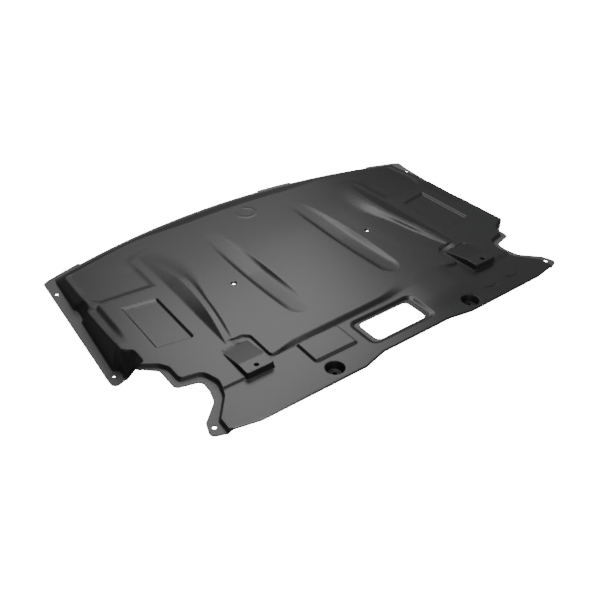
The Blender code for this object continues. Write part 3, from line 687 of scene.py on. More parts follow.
@dataclass
class SunkField:
    """One sunk field at the front, between the outer fin's front end and the side wall."""

    level: float = 0.0026
    inner: float = 0.316
    rear: float = 0.103
    outer: float = 0.458
    corner: float = 0.023
    draft: float = 0.011
    fade: float = 0.230
    fade_front: Span = (0.160, 0.240)
    fade_reach: float = 0.090
    fin_front: float = 0.224
    round: float = 0.0042
    lip_points: int = 33
    least_fade: float = 0.02

    def outline(self, edge: FrontEdge, wings: Wings) -> np.ndarray:
        """The upper edge of the field; its front side lies under the front slope."""
        under = edge.band + edge.slope - self.draft
        across = np.linspace(self.fade, self.outer - self.corner, self.lip_points)
        lip = [(x, float(edge.edge(x, under)), 0) for x in across]
        return rounded(lip + [
            (self.outer, wings.front - 0.001, 0.004),
            (self.outer - 0.001, 0.165, 0.030),
            (self.outer - 0.009, 0.128, 0.015),
            (self.outer - 0.022, self.rear + 0.008, 0.008),
            (self.inner, self.rear, 0.004),
            (self.inner, self.fin_front, 0.012),
            (self.fade, self.fin_front + 0.026, 0.020),
        ])

    def floor(self, points: np.ndarray, panel: float) -> np.ndarray:
        """Height of the field's floor, which rises to the panel towards the middle and the front."""
        x, y = np.abs(points[:, 0]), points[:, 1]
        forward = ease(y, *self.fade_front)
        far = self.inner + self.fade_reach * forward
        near = self.fade + (self.inner - self.fade) * (1 - forward)
        sunk = fade(x, np.minimum(near, far - self.least_fade), far)
        return self.level + (panel - self.level) * (1 - sunk * sunk * (3 - 2 * sunk))


@dataclass
class OuterStrip:
    """One low strip outside the panel's dark outer step."""

    level: float = 0.0024
    inner: float = 0.441
    front: float = 0.107
    rear: float = -0.036
    past_edge: float = 0.020
    corner: float = 0.004
    fade: float = 0.070
    draft: float = 0.0080
    round: float = 0.0030

    def outline(self, wings: Wings) -> np.ndarray:
        """The upper edge of the strip's step, which runs out past the side wall."""
        edge = wings.panel_edge
        return rounded([
            (self.inner, self.front, self.corner),
            (self.inner, self.rear, self.corner),
            (edge + self.past_edge, self.rear, 0),
            (edge + self.past_edge, self.front, 0),
        ])

    def floor(self, y: np.ndarray, panel: float) -> np.ndarray:
        """Height of the strip, which runs out into the panel at its rear end."""
        return self.level + (panel - self.level) * ease(-y, -self.rear - self.fade, -self.rear)


@dataclass
class SideRecess:
    """One sunk four-sided recess beside an outer fin."""

    inner: float = 0.335
    outer: float = 0.4085
    front: Span = (0.063, 0.074)
    rear: Span = (-0.091, -0.080)
    depth: float = 0.0042
    draft: float = 0.0032
    front_draft: float = 0.0085
    corner: float = 0.005
    round: float = 0.0012
    line_points: int = 24

    def outline(self) -> np.ndarray:
        """The recess's upper edge, narrower towards the centre."""
        return rounded([
            (self.inner, self.front[0], self.corner),
            (self.outer, self.front[1], self.corner),
            (self.outer, self.rear[1], self.corner),
            (self.inner, self.rear[0], self.corner),
        ])

    def front_side(self, x: np.ndarray) -> np.ndarray:
        """Y of the front side, which is straight."""
        return self.front[0] + (self.front[1] - self.front[0]) * (x - self.inner) / (self.outer - self.inner)

    def floor(self, points: np.ndarray, panel: float) -> np.ndarray:
        """Height of the floor, which comes down over a longer slope from the front side."""
        side = self.front_side(np.abs(points[:, 0]))
        return panel - self.depth * ramp(side - points[:, 1], self.front_draft, self.round)

    def lines(self) -> list[Line]:
        """Lines along the foot of the longer front slope."""
        x = np.linspace(self.inner, self.outer, self.line_points)
        rows = [self.front_draft + r for r in (-self.round, 0, self.round)]
        made = [open_line(x, self.front_side(x) - row) for row in rows]
        return made + [line.mirrored() for line in made]


@dataclass
class Fin:
    """One long curved fin: a steep leaf outside, a level top and a slope inside."""

    foot: float = 0.300
    front: float = 0.224
    rear: float = -0.149
    waist: float = 0.269
    waist_y: float = 0.062
    front_bow: float = 2.0
    rear_bow: float = 1.6
    rise: float = 0.0075
    high: Span = (-0.050, 0.085)
    swell: Span = (0.8, 0.95)
    top_width: float = 0.0115
    top_fall: float = 0.0010
    slope_width: Span = (0.009, 0.044)
    slope_span: Span = (-0.010, 0.150)
    slope_bend: float = 1.7
    blend: float = 0.0011
    least_leaf: float = 0.002
    beside: Span = (0.0015, 0.002)
    line_points: int = 75

    def crest(self, y: np.ndarray) -> np.ndarray:
        """Distance of the crest from the centre plane: bowed towards it at the waist."""
        front = fade(y, self.waist_y, self.front) ** self.front_bow
        rear = fade(-y, -self.waist_y, -self.rear) ** self.rear_bow
        return self.waist + (self.foot - self.waist) * (front + rear)

    def height(self, y: np.ndarray) -> np.ndarray:
        """Rise of the crest over the panel."""
        rear = fade(y, self.rear, self.high[0]) ** self.swell[0]
        front = fade(y, self.front, self.high[1]) ** self.swell[1]
        return self.rise * np.minimum(rear, front)

    def slope(self, y: np.ndarray) -> np.ndarray:
        """Width of the inner slope, which grows towards the front."""
        rear, front = self.slope_width
        return rear + (front - rear) * ease(y, *self.slope_span)

    def apply(self, points: np.ndarray) -> np.ndarray:
        """Rise over the panel: the lowest of leaf, top and hollow slope t^bend, never below it."""
        x, y = np.abs(points[:, 0]), points[:, 1]
        crest, height = self.crest(y), self.height(y)
        blend = self.blend * height / self.rise
        leaf = height * (self.foot - x) / np.maximum(self.foot - crest, self.least_leaf)
        top = height - self.top_fall * (crest - x) / self.top_width * (height / self.rise)
        width = self.slope(y)
        run = np.maximum(x - crest + self.top_width + width, 0) / width
        slope = height * run**self.slope_bend
        rise = lower(lower(leaf, top, 0.5 * blend), slope, blend)
        return -lower(-rise, np.zeros_like(rise), blend)

    def lines(self) -> list[Line]:
        """Lines along the foot, the crest, the top's inner edge and the inner foot."""
        y = np.linspace(self.front, self.rear, self.line_points)
        crest = self.crest(y)
        near, wide = self.beside
        rows = [np.full_like(y, self.foot + r) for r in (-wide, 0, wide)]
        rows += [crest + r for r in (-near, 0, near)]
        rows += [crest - self.top_width + r for r in (-wide, 0, wide)]
        rows += [crest - self.top_width - share * self.slope(y) for share in (0.25, 0.5, 0.75, 1.0)]
        return [open_line(row, y) for row in rows]


@dataclass
class Channel:
    """One long lens-shaped channel sunk beside the middle, with a hollow floor."""

    outer: float = 0.151
    inner: float = 0.093
    front: float = 0.226
    rear: float = -0.150
    deep: Span = (0.020, 0.030)
    heel: float = 0.004
    swell: Span = (1.1, 1.25)
    middle: float = 0.020
    sink: float = 0.0064
    side: float = 0.013
    side_share: float = 0.85
    side_bend: float = 1.7
    tail: float = 0.030
    bow: float = 0.007
    inner_bow: float = 0.8
    hollow: float = 0.12
    round: float = 0.0010
    line_points: int = 75

    def edges(self, y: np.ndarray) -> tuple[np.ndarray, np.ndarray]:
        """Inner and outer edge along the channel: bowed, and closed round at the rear."""
        half = 0.5 * (self.outer - self.inner)
        bow = self.bow * ((y - self.middle) / (self.middle - self.rear)) ** 2
        end = fade(-y, -self.rear - self.tail, -self.rear)
        tail = (half - 0.5 * (1 + self.inner_bow) * bow) * (1 - np.sqrt(1 - end**2))
        return self.inner + self.inner_bow * bow + tail, self.outer - bow - tail

    def depth(self, y: np.ndarray) -> np.ndarray:
        """Depth of the floor under the panel along the channel."""
        rear = np.sin(0.5 * math.pi * fade(y, self.rear - self.heel, self.deep[0])) ** self.swell[0]
        return self.sink * rear * fade(y, self.front, self.deep[1]) ** self.swell[1]

    def apply(self, points: np.ndarray) -> np.ndarray:
        """Depth under the panel: walls 1 - (1 - t)^bend that run out into the hollow floor."""
        x, y = np.abs(points[:, 0]), points[:, 1]
        inner, outer = self.edges(np.clip(y, self.rear, self.front))
        half = np.maximum((outer - inner) / 2, SAME_POINT)
        within = np.minimum(x - inner, outer - x)
        side = np.minimum(self.side, self.side_share * half)
        wall = 1 - (1 - fade(soft(within, self.round), 0, side)) ** self.side_bend
        floor = 1 - self.hollow * (1 - fade(within, 0, half)) ** 2
        inside = (y >= self.rear) & (y <= self.front)
        return np.where(inside, self.depth(y) * wall * floor, 0)

    def lines(self) -> list[Line]:
        """Lines along the edges, the walls, their feet and the middle."""
        y = np.linspace(self.front, self.rear, self.line_points)
        inner, outer = self.edges(y)
        half = (outer - inner) / 2
        side = np.minimum(self.side, self.side_share * half)
        wide = np.minimum(self.round, 0.3 * side)
        ins = [-wide, 0 * wide, wide, 0.25 * side, 0.5 * side, 0.75 * side, side, 0.5 * (half + side)]
        rows = [inner + step for step in ins] + [outer - step for step in ins] + [(inner + outer) / 2]
        return [open_line(row, y) for row in rows]


@dataclass
class RampedBox:
    """One box at the rear of the panel: a ramp, a level pad and a hole."""

    inner: float = 0.258
    outer: float = 0.319
    front: float = -0.154
    rear: float = -0.2485
    pad_front: float = -0.217
    top: float = 0.013
    nose: float = 0.0030
    draft: float = 0.0022
    corner: float = 0.006
    hole: Span = (0.290, -0.235)
    rounds: Span = (0.001, 0.002)

    def outline(self) -> np.ndarray:
        """The foot of the box."""
        return four_sided(self.inner, self.outer, self.front, self.rear, self.corner)

    def ramp(self, y: np.ndarray) -> np.ndarray:
        """Height of the top: a ramp and then a level pad."""
        length = self.front - self.pad_front
        share = (soft(self.front - y, self.rounds[0]) - soft(self.pad_front - y, self.rounds[1])) / length
        return self.nose + (self.top - self.nose) * share

    def lines(self) -> list[Line]:
        """Lines across the top where the ramp meets the pad."""
        wide = self.rounds[1]
        ends = np.array([self.inner + self.draft, self.outer - self.draft])
        rows = [self.pad_front + r for r in (-wide, 0, wide)]
        return [open_line(side * ends, np.full(2, row)) for row in rows for side in (-1, 1)]


@dataclass
class RearPad:
    """The low pad behind the panel on the left."""

    left: float = -0.194
    right: float = -0.095
    front: float = -0.219
    rear: float = -0.283
    top: float = 0.0046
    draft: float = 0.0035
    corner: float = 0.006

    def outline(self) -> np.ndarray:
        """The foot of the pad."""
        return four_sided(self.left, self.right, self.front, self.rear, self.corner)


@dataclass
class AccessOpening:
    """The access opening at the rear, in a shallow frame."""

    left: float = -0.057
    right: float = 0.069
    front: float = -0.2355
    rear: float = -0.2960
    corner: float = 0.011
    margin: Span = (0.019, 0.011)
    frame_corner: float = 0.018
    depth: float = 0.0034
    draft: float = 0.0075
    round: float = 0.0016

    def bounded(self, side: float, end: float, corner: float) -> np.ndarray:
        """A rounded four-sided outline that lies outside the opening by two margins."""
        return four_sided(self.left - side, self.right + side, self.front + end, self.rear - end, corner)

    def outline(self) -> np.ndarray:
        """The opening."""
        return self.bounded(0.0, 0.0, self.corner)

    def frame(self) -> Step:
        """The shallow frame round the opening."""
        return Step(self.bounded(*self.margin, self.frame_corner), self.draft, self.round)


@dataclass
class BoltCup:
    """One sunk round cup for a screw's head."""

    place: Span = (0.1735, -0.3120)
    radius: float = 0.0185
    floor_radius: float = 0.0135
    depth: float = 0.015
    rim: Span = (0.0066, 0.0088)
    rim_rise: float = 0.0012
    round: float = 0.0009
    rim_round: float = 0.0006

    def step(self, side: int) -> Step:
        """The cup's wall on one side of the shield."""
        outline = circle((side * self.place[0], self.place[1]), self.radius, 64)
        return Step(outline, self.radius - self.floor_radius, self.round)

    def rim_step(self, side: int) -> Step:
        """The raised rim round the hole."""
        outline = circle((side * self.place[0], self.place[1]), self.rim[1], 48)
        return Step(outline, self.rim[1] - self.rim[0], self.rim_round)


@dataclass
class ScrewSleeve:
    """The short sleeve under a screw hole, which keeps the hole dark from above."""

    radius: float = 0.0046
    depth: float = 0.0064
    draft: float = 0.0010
    round: float = 0.0004
    hole_radius: float = 0.0030

    def step(self, place: Span, side: int) -> Step:
        """The sleeve's wall at one place."""
        return Step(circle((side * place[0], place[1]), self.radius, 40), self.draft, self.round)


@dataclass
class ClipHole:
    """One clip hole in a dished seat."""

    place: Span = (0.1815, 0.0165)
    seat_radius: float = 0.0068
    seat_depth: float = 0.0020
    seat_draft: float = 0.0026
    seat_round: float = 0.0006
    hole_radius: float = 0.0031

    def step(self, side: int) -> Step:
        """The sloped wall of the seat."""
        outline = circle((side * self.place[0], self.place[1]), self.seat_radius, 40)
        return Step(outline, self.seat_draft, self.seat_round)


@dataclass(frozen=True)
class MouldMark:
    """One faint curved mark of the mould: part of a shallow ring."""

    centre: Span
    radius: float
    middle_angle: float
    spread: float
    width: float = 0.0050
    rise: float = 0.0006
    fading: Span = (0.6, 1.0)
    line_points: int = 40

    def apply(self, points: np.ndarray) -> np.ndarray:
        """Rise cos² across the ring's width, fading out towards both ends of the arc."""
        away = points - self.centre
        radial = np.abs(np.hypot(away[:, 0], away[:, 1]) - self.radius) / self.width
        turn = np.arctan2(away[:, 1], away[:, 0]) - math.radians(self.middle_angle)
        turn = np.abs((turn + math.pi) % (2 * math.pi) - math.pi) / math.radians(self.spread)
        ridge = np.cos(0.5 * math.pi * np.minimum(radial, 1)) ** 2
        return self.rise * ridge * (1 - ease(turn, *self.fading))

    def lines(self) -> list[Line]:
        """Lines along the ridge."""
        half = math.radians(self.spread)
        angle = math.radians(self.middle_angle) + np.linspace(-half, half, self.line_points)
        way = np.column_stack([np.cos(angle), np.sin(angle)])
        rows = [self.radius + share * self.width for share in (-1, -0.6, -0.3, 0, 0.3, 0.6, 1)]
        return [Line(np.array(self.centre) + way * row, False) for row in rows]


@dataclass
class Warp:
    """The free-state warp: the right side lies a little higher than the left."""

    right: float = 0.011
    front: float = 0.0015
    fade: Span = (0.090, 0.248)

    def lift(self, points: np.ndarray, half_width: float) -> np.ndarray:
        """Lift that grows with the cube of the distance from the left side."""
        across = (points[:, 0] + half_width) / (2 * half_width)
        return (self.right + (self.front - self.right) * ease(points[:, 1], *self.fade)) * across**3


class Side(Enum):
    """The two sides of the shield, seen from behind."""

    LEFT = -1
    RIGHT = 1


@dataclass
class Shield:
    """The whole shield: plan lines, heights, triangles and the thin wall."""

    wall: float = 0.0028
    steepest: float = 1.9
    edge_round: float = 0.0008
    wall_round: float = 0.0012
    least_wall: float = 0.0002
    hole_points: int = 28
    grid: float = 0.010
    wall_grid: float = 0.003
    rim_span: Span = (-0.0005, 0.0015)
    origin: tuple[float, float, float] = (0.0, -0.00289, 0.05036)
    front: FrontEdge = field(default_factory=FrontEdge)
    wings: Wings = field(default_factory=Wings)
    left: Notch = field(default_factory=lambda: Notch((0.459, -0.1025), True, 0.003))
    right: Notch = field(default_factory=lambda: Notch((0.470, -0.1330), False, 0.008))
    rear: RearEdge = field(default_factory=RearEdge)
    panel: RaisedPanel = field(default_factory=RaisedPanel)
    sunk: SunkField = field(default_factory=SunkField)
    strip: OuterStrip = field(default_factory=OuterStrip)
    recess: SideRecess = field(default_factory=SideRecess)
    fin: Fin = field(default_factory=Fin)
    channel: Channel = field(default_factory=Channel)
    box: RampedBox = field(default_factory=RampedBox)
    pad: RearPad = field(default_factory=RearPad)
    access: AccessOpening = field(default_factory=AccessOpening)
    cup: BoltCup = field(default_factory=BoltCup)
    sleeve: ScrewSleeve = field(default_factory=ScrewSleeve)
    clip: ClipHole = field(default_factory=ClipHole)
    marks: tuple[MouldMark, ...] = (
        MouldMark((0.001, 0.256), 0.0225, -60.0, 170.0, 0.0070, 0.0008),
        MouldMark((0.247, -0.289), 0.0190, -100.0, 62.0, 0.0045, -0.0009),
        MouldMark((0.313, -0.282), 0.0260, -95.0, 62.0, 0.0045, -0.0009),
    )
    warp: Warp = field(default_factory=Warp)

    def outer(self) -> np.ndarray:
        """The whole outer edge, anticlockwise from the front corner on the left."""
        left = mirrored(self.left.outer(self.front, self.wings, self.rear.left, self.rear.bend))[::-1]
        right = self.right.outer(self.front, self.wings, self.rear.right, self.rear.bend)
        return np.vstack([self.front.line(0.0, True)[1:-1], left, self.rear.line(0.0), right[::-1]])

    def wall_top(self) -> np.ndarray:
        """The upper edge of the walls all round."""
        sides = []
        for notch, rear in ((self.left, self.rear.left), (self.right, self.rear.right)):
            wing, wall = self.wings.top(self.front, notch.cusp, notch.recessed), notch.top()
            corner = rounded([
                (*wall[-1], 0),
                (*notch.wall_rear, 0.004),
                (self.rear.bend - 0.001, rear + self.rear.band, 0),
            ], closed=False)
            sides.append(np.vstack([wing[:-1], wall[:-1], corner]))
        front = self.front.line(self.front.band, False)[1:-1]
        left, right = mirrored(sides[0])[::-1], sides[1][::-1]
        return np.vstack([front, left, self.rear.line(self.rear.band), right])

    def wall_foot(self) -> np.ndarray:
        """The foot of the walls all round, past the outer edge where a wall runs out at it."""
        front = self.front.line(0.5 * self.front.band, False)[1:-1]
        left = mirrored(self.left.foot(self.wings))[::-1]
        return np.vstack([front, left, self.right.foot(self.wings)[::-1]])

    def holes(self) -> list[np.ndarray]:
        """Outlines of the holes that go right through."""
        wide = self.wings.half_width
        spots = [(wide - inset, y, radius) for inset, y, radius in self.wings.holes]
        spots += [
            self.left.ear_hole,
            (*self.box.hole, self.sleeve.hole_radius),
            (*self.cup.place, self.sleeve.hole_radius),
            (*self.clip.place, self.clip.hole_radius),
        ]
        found = [circle((side.value * x, y), r, self.hole_points) for x, y, r in spots for side in Side]
        return found + [self.access.outline()]

    def steps(self) -> list[tuple[Step, Level]]:
        """The sunk and raised areas in order, each with the level that it goes to."""
        level = self.panel.level
        sunk, strip, recess, box = self.sunk, self.strip, self.recess, self.box
        field_edge = sunk.outline(self.front, self.wings)
        pairs: list[tuple[np.ndarray, tuple[float, ...], Level]] = [
            (field_edge, (sunk.draft, sunk.round), lambda h, p: sunk.floor(p, level)),
            (strip.outline(self.wings), (strip.draft, strip.round), lambda h, p: strip.floor(p[:, 1], level)),
            (recess.outline(), (recess.draft, recess.round), lambda h, p: recess.floor(p, level)),
            (box.outline(), (box.draft,), lambda h, p: np.maximum(box.ramp(p[:, 1]), h)),
        ]
        made = [(Step(half, *sizes), to) for outline, sizes, to in pairs for half in both_sides(outline)]
        made.append((Step(self.pad.outline(), self.pad.draft), lambda h, p: self.pad.top))
        made.append((self.access.frame(), lambda h, p: -self.access.depth))
        cup_rim = self.cup.rim_rise - self.cup.depth
        for side in Side:
            made.append((self.cup.step(side.value), lambda h, p: -self.cup.depth))
            made.append((self.cup.rim_step(side.value), lambda h, p: cup_rim))
            made.append((self.clip.step(side.value), lambda h, p: level - self.clip.seat_depth))
            for place in (self.cup.place, self.box.hole):
                made.append((self.sleeve.step(place, side.value), lambda h, p: h - self.sleeve.depth))
        return made

    def inner_height(self, points: np.ndarray) -> np.ndarray:
        """Height inside the walls: the panel with its ribs, steps, rim and front slope."""
        height = self.panel.height(points)
        ribs = self.fin.apply(points) - self.channel.apply(points)
        height = height + ribs * fade(height, 0, self.panel.level)
        height = height + sum(mark.apply(points) for mark in self.marks)
        for step, level in self.steps():
            height = step.apply(height, points, level(height, points))
        height = self.wings.lower_rim(height, points, self.panel.level)
        return self.front.apply(height, points)

    def rim_height(self, points: np.ndarray) -> np.ndarray:
        """Height of the flanges, wings, ears and rear lip outside the walls' foot."""
        x, y = np.abs(points[:, 0]), points[:, 1]
        left, right = self.left.heights(y, self.wings), self.right.heights(y, self.wings)
        notch = np.where(points[:, 0] < 0, left, right)
        wing = self.wings.heights(y, self.front)
        wall_x, wall_y = self.wings.end_wall
        near, far = self.wings.end_blend
        on_wing = np.maximum(fade(x, wall_x + near, wall_x + far), fade(y, wall_y, self.wings.pad_front))
        return self.rear.apply(notch + (wing - notch) * on_wing, points)

    def height(self, points: np.ndarray, outer: np.ndarray) -> np.ndarray:
        """Gives the height of the upper face.

        Between the top line and the foot line of the wall the height goes from the panel's to the
        rim's with the share of the wall that lies behind, rounded at both lines.

        Args:
            points: Points in plan.
            outer: The outer edge.

        Returns:
            One height a point.
        """
        past_top = -depth(points, self.wall_top())
        before_foot = np.minimum(depth(points, self.wall_foot()), depth(points, outer))
        span = np.maximum(past_top + before_foot, self.least_wall)
        width = np.minimum(self.wall_round, 0.3 * span)
        share = np.clip((soft(past_top, width) - soft(-before_foot, width)) / span, 0, 1)
        inner, rim = self.inner_height(points), self.rim_height(points)
        return inner + (rim - inner) * share + self.warp.lift(points, self.wings.half_width)

    def lines(self) -> list[Line]:
        """Every line that the triangles follow, away from the edge's own rows."""
        wide = self.wall_round
        top, foot = divided(self.wall_top()), divided(self.wall_foot())
        made = [Line(shrunk(top, r)) for r in (-wide, -0.4 * wide, 0.4 * wide, wide)]
        made += [Line(shrunk(foot, r)) for r in (-wide, 0, wide)]
        made += self.panel.lines() + self.front.lines()
        for step, _ in self.steps():
            made += step.lines()
        for mark in self.marks:
            made += mark.lines()
        for line in self.fin.lines() + self.channel.lines():
            made += [line, line.mirrored()]
        return made + self.box.lines() + self.recess.lines()

    def wall_spots(self, outer: np.ndarray) -> np.ndarray:
        """Points spread closely over the walls, between their upper edge and their foot."""
        reach_x, reach_y = self.wings.half_width, self.front.apex
        x, y = np.arange(-reach_x, reach_x, self.wall_grid), np.arange(-reach_y, reach_y, self.wall_grid)
        spots = np.array(np.meshgrid(x, y)).reshape(2, -1).T
        past_top = -depth(spots, self.wall_top())
        before_foot = np.minimum(depth(spots, self.wall_foot()), depth(spots, outer))
        clear = 0.4 * self.wall_grid
        return spots[(past_top > clear) & (past_top < FAR) & (before_foot > clear)]

    def edge_rows(self, outline: np.ndarray, inwards: int) -> list[Line]:
        """Rows along a rounded edge, closer together towards the edge."""
        shares = (0.0, 0.06, 0.25, 0.6, 1.0)
        return [Line(shrunk(outline, inwards * share * self.edge_round)) for share in shares]

    def triangles(self, outer: np.ndarray, voids: list[np.ndarray]) -> tuple[np.ndarray, np.ndarray]:
        """Fills the plan with triangles between all lines.

        Args:
            outer: The outer edge.
            voids: The holes.

        Returns:
            Points in plan and triangles.
        """
        lines = self.edge_rows(outer, 1)
        for hole in voids:
            lines += self.edge_rows(hole, -1)
        lines += self.lines()
        reach_x, reach_y = self.wings.half_width, self.front.apex
        x, y = np.arange(-reach_x, reach_x, self.grid), np.arange(-reach_y, reach_y, self.grid)
        spots = np.array(np.meshgrid(x + 0.5 * self.grid, y)).reshape(2, -1).T
        spots = np.vstack([spots, self.wall_spots(outer)])
        points, edges, first = [spots], [], len(spots)
        for line in lines:
            count = len(line.points)
            index = first + np.arange(count)
            pairs = np.column_stack([index, np.roll(index, -1)])
            edges.append(pairs if line.closed else pairs[:-1])
            points.append(line.points)
            first += count
        flat = [Vector(p) for p in np.vstack(points)]
        found = delaunay_2d_cdt(flat, np.vstack(edges).tolist(), [], 0, SAME_POINT)
        plan = np.array([tuple(p) for p in found[0]])
        faces = np.array([f for f in found[2] if len(f) == 3])
        middle = plan[faces].mean(axis=1)
        keep = depth(middle, outer) > 0
        for hole in voids:
            keep &= depth(middle, hole) < 0
        used, faces = np.unique(faces[keep], return_inverse=True)
        return plan[used], faces.reshape(-1, 3)

    def surface(self) -> tuple[np.ndarray, np.ndarray]:
        """Works out the closed wall.

        The lower face lies under the upper one by the wall over the upward share of its normal.
        Along every edge both faces bend towards each other on a quarter circle.

        Returns:
            Points and triangles.
        """
        outer = divided(self.outer())
        voids = [divided(hole) for hole in self.holes()]
        plan, faces = self.triangles(outer, voids)
        height = self.height(plan, outer)
        upper = np.column_stack([plan, height])
        upward = np.abs(normals(upper, faces)[:, 2])
        thick = self.wall * np.minimum(1 / np.maximum(upward, TINY), self.steepest)
        inwards = depth(plan, outer)
        for hole in voids:
            inwards = np.minimum(inwards, -depth(plan, hole))
        left_over = np.clip(1 - inwards / self.edge_round, 0, 1)
        bend = self.edge_round * (1 - np.sqrt(1 - left_over**2))
        upper[:, 2] -= bend
        under = np.column_stack([plan, np.maximum(height - thick + bend, -self.origin[2])])
        count = len(plan)
        sides = np.vstack([faces[:, [0, 1]], faces[:, [1, 2]], faces[:, [2, 0]]])
        keys = np.sort(sides, axis=1)
        _, index, seen = np.unique(keys, axis=0, return_index=True, return_counts=True)
        start, end = sides[index[seen == 1]].T
        strip = np.vstack([
            np.column_stack([start, start + count, end + count]),
            np.column_stack([start, end + count, end]),
        ])
        joined = np.vstack([faces, faces[:, ::-1] + count, strip])
        return np.vstack([upper, under]) + self.origin, joined

    def flange_roughness_and_painted_light_share(self, points: np.ndarray) -> np.ndarray:
        """Gives 1 on the flanges past the walls' foot and 0 inside: rougher there, and painted paler as
        painted light.
        """
        return ease(-depth(points, self.wall_foot()), *self.rim_span)

    def build(self) -> bpy.types.Object:
        """Makes the shield's mesh with smooth normals, and says what it rides on and replaces."""
        points, faces = self.surface()
        mesh = bpy.data.meshes.new("moulded_shield")
        mesh.from_pydata(points, [], faces)
        mesh.shade_smooth()
        mesh.normals_split_custom_set_from_vertices(normals(points, faces))
        # The rim attribute marks the flanges: they get a rougher finish and a paler colour, which is painted
        # light.
        rim = mesh.attributes.new("rim", "FLOAT", "POINT")
        rim.data.foreach_set("value", self.flange_roughness_and_painted_light_share(points[:, :2] - self.origin[:2]))
        mesh.materials.append(MouldedPolypropylene().material())
        shield = bpy.data.objects.new("moulded_shield", mesh)
        bpy.context.scene.collection.objects.link(shield)
        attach(shield, "root")
        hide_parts("splash_shield")
        log.info("%s: %d triangles", shield.name, len(faces))
        return shield


def normals(points: np.ndarray, faces: np.ndarray) -> np.ndarray:
    """Gives each point the mean normal of the triangles round it, weighted by their areas.

    Args:
        points: The points.
        faces: The triangles.

    Returns:
        One unit normal a point.
    """
    first, second, third = points[faces].transpose(1, 0, 2)
    cross = np.cross(second - first, third - first)
    total = np.column_stack([
        np.bincount(faces.ravel(), np.repeat(cross[:, axis], 3), len(points)) for axis in range(3)
    ])
    return total / np.maximum(np.linalg.norm(total, axis=1), TINY**2)[:, None]


@dataclass(frozen=True)
class MouldedPolypropylene:
    """Satin black polypropylene from a steel mould, with a fine spark-eroded grain."""

    # To the eye: a nearly black face with soft, wide highlights, and duller flanges, rougher and painted
    # paler to stand for the light they catch.
    name: str = "black_moulded_polypropylene"
    colour: str = "181819"
    # Paler flange colour: painted light, for the light the flanges catch from above.
    flange_painted_light_colour: str = "525253"
    roughness: float = 0.32
    rim_roughness: float = 0.56
    specular: float = 0.5
    # The grain is drawn 1.1 mm across and 0.02 mm high, coarser than on a real part.
    grain: float = 0.0011
    grain_height: float = 0.00002
    grain_detail: float = 2.0
    grain_strength: float = 0.35

    def node(self, tree: bpy.types.NodeTree, kind: str, settings: dict, links: dict) -> bpy.types.Node:
        """Adds one node.

        Args:
            tree: The material's node tree.
            kind: Blender's name of the node.
            settings: Values of the node's own fields and sockets.
            links: Output sockets for the node's inputs.

        Returns:
            The new node.
        """
        made = tree.nodes.new(kind)
        for key, value in settings.items():
            if key in made.inputs:
                made.inputs[key].default_value = value
            else:
                setattr(made, key, value)
        for key, socket in links.items():
            tree.links.new(socket, made.inputs[key])
        return made

    def material(self) -> bpy.types.Material:
        """Builds the material."""
        made = bpy.data.materials.new(self.name)
        made.use_nodes = True
        tree = made.node_tree
        shader = tree.nodes["Principled BSDF"]
        rim = self.node(tree, "ShaderNodeAttribute", {"attribute_name": "rim"}, {})
        # The flanges' paler colour mixed in here is painted light; the face keeps the plastic's own colour.
        colour_and_painted_light = self.node(tree, "ShaderNodeMix", {"data_type": "RGBA"}, {"Factor": rim.outputs["Fac"]})
        colour_and_painted_light.inputs["A"].default_value = linear(self.colour)
        colour_and_painted_light.inputs["B"].default_value = linear(self.flange_painted_light_colour)
        rough = self.node(
            tree, "ShaderNodeMapRange", {"To Min": self.roughness, "To Max": self.rim_roughness},
            {"Value": rim.outputs["Fac"]},
        )
        tree.links.new(colour_and_painted_light.outputs["Result"], shader.inputs["Base Color"])
        tree.links.new(rough.outputs["Result"], shader.inputs["Roughness"])
        shader.inputs["Specular IOR Level"].default_value = self.specular
        place = self.node(tree, "ShaderNodeTexCoord", {}, {})
        noise = self.node(
            tree, "ShaderNodeTexNoise", {"Scale": 1 / self.grain, "Detail": self.grain_detail},
            {"Vector": place.outputs["Object"]},
        )
        bump = self.node(
            tree, "ShaderNodeBump", {"Strength": self.grain_strength, "Distance": self.grain_height},
            {"Height": noise.outputs["Fac"]},
        )
        tree.links.new(bump.outputs["Normal"], shader.inputs["Normal"])
        return made


@dataclass(frozen=True)
class SoftLight:
    """One level soft light: its lowest and highest x and y, and how bright its face is."""

    name: str
    low: Span
    high: Span
    glow: float


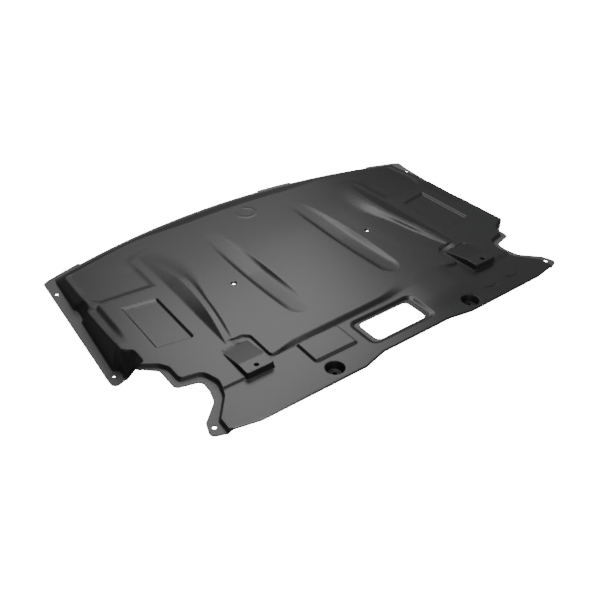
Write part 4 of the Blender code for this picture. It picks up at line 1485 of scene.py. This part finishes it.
@dataclass
class Studio:
    """White floor, level soft lights over the shield, and the photograph's camera."""

    lens: float = 43.3
    sensor: float = 36.0
    azimuth: float = -36.182
    elevation: float = 35.710
    roll: float = 0.132
    distance: float = 1.4569
    target: tuple[float, float, float] = (-0.10199, -0.11066, 0.05036)
    clip_end: float = 20.0
    light_height: float = 0.855
    lights: tuple[SoftLight, ...] = (
        SoftLight("key_light", (-0.18, 0.23), (0.757, 1.036), 3.7),
        SoftLight("front_light", (-0.25, 1.036), (1.20, 2.10), 0.75),
        SoftLight("side_light", (0.757, -0.10), (2.30, 1.036), 0.28),
        SoftLight("rear_light", (-0.35, -0.30), (0.10, 0.15), 6.5),
        SoftLight("back_light", (-2.60, -4.00), (2.60, -0.95), 0.9),
    )
    floor_reach: float = 6.0
    floor_colour: str = "f4f4f4"
    floor_roughness: float = 0.9
    floor_power: float = 60.0
    world_colour: str = "ffffff"
    world_strength: float = 0.15

    def camera(self) -> None:
        """Places the camera on the line of sight fitted to the photograph."""
        around, up = math.radians(self.azimuth), math.radians(self.elevation)
        back = Vector((math.sin(around) * math.cos(up), -math.cos(around) * math.cos(up), math.sin(up)))
        data = bpy.data.cameras.new("camera")
        data.lens = self.lens
        data.sensor_width = self.sensor
        data.clip_end = self.clip_end
        camera = bpy.data.objects.new("camera", data)
        bpy.context.scene.collection.objects.link(camera)
        right = Vector((math.cos(around), math.sin(around), 0))
        above = back.cross(right)
        turn = math.radians(self.roll)
        side = right * math.cos(turn) + above * math.sin(turn)
        top = above * math.cos(turn) - right * math.sin(turn)
        rows = Matrix((side, top, back)).transposed().to_4x4()
        camera.matrix_world = Matrix.Translation(Vector(self.target) + back * self.distance) @ rows
        bpy.context.scene.camera = camera

    def add_light(self, light: SoftLight) -> None:
        """Adds one rectangular soft light; its glow is in watts a square metre and steradian."""
        low, high = light.low, light.high
        data = bpy.data.lights.new(light.name, "AREA")
        data.shape = "RECTANGLE"
        data.size, data.size_y = high[0] - low[0], high[1] - low[1]
        data.energy = light.glow * math.pi * data.size * data.size_y
        lamp = bpy.data.objects.new(light.name, data)
        lamp.location = ((low[0] + high[0]) / 2, (low[1] + high[1]) / 2, self.light_height)
        lamp.visible_camera = False
        bpy.context.scene.collection.objects.link(lamp)

    def floor_light(self, floor: bpy.types.Object) -> None:
        """Adds a light for the floor alone, which keeps it white right under the shield."""
        data = bpy.data.lights.new("floor_light", "SUN")
        data.energy = self.floor_power
        lamp = bpy.data.objects.new("floor_light", data)
        bpy.context.scene.collection.objects.link(lamp)
        lit = bpy.data.collections.new("lit_floor")
        lit.objects.link(floor)
        lamp.light_linking.receiver_collection = lit
        lamp.light_linking.blocker_collection = lit

    def floor(self) -> None:
        """Lays a white floor under the shield."""
        reach = self.floor_reach
        mesh = bpy.data.meshes.new("floor")
        corners = [(-reach, -reach, 0), (reach, -reach, 0), (reach, reach, 0), (-reach, reach, 0)]
        mesh.from_pydata(corners, [], [(0, 1, 2, 3)])
        made = bpy.data.materials.new("white_paper")
        made.use_nodes = True
        shader = made.node_tree.nodes["Principled BSDF"]
        shader.inputs["Base Color"].default_value = linear(self.floor_colour)
        shader.inputs["Roughness"].default_value = self.floor_roughness
        mesh.materials.append(made)
        floor = bpy.data.objects.new("floor", mesh)
        floor.visible_glossy = False
        floor.visible_diffuse = False
        bpy.context.scene.collection.objects.link(floor)
        self.floor_light(floor)

    def build(self) -> None:
        """Sets up the floor, the lights and the camera."""
        self.floor()
        self.camera()
        for light in self.lights:
            self.add_light(light)
        world = bpy.data.worlds.new("studio")
        world.use_nodes = True
        background = world.node_tree.nodes["Background"]
        background.inputs["Color"].default_value = linear(self.world_colour)
        background.inputs["Strength"].default_value = self.world_strength
        bpy.context.scene.world = world


def main() -> None:
    """Builds the studio and the shield."""
    logging.basicConfig(level=logging.INFO, format="%(message)s")
    Studio().build()
    Shield().build()


if __name__ == "__main__":
    main()
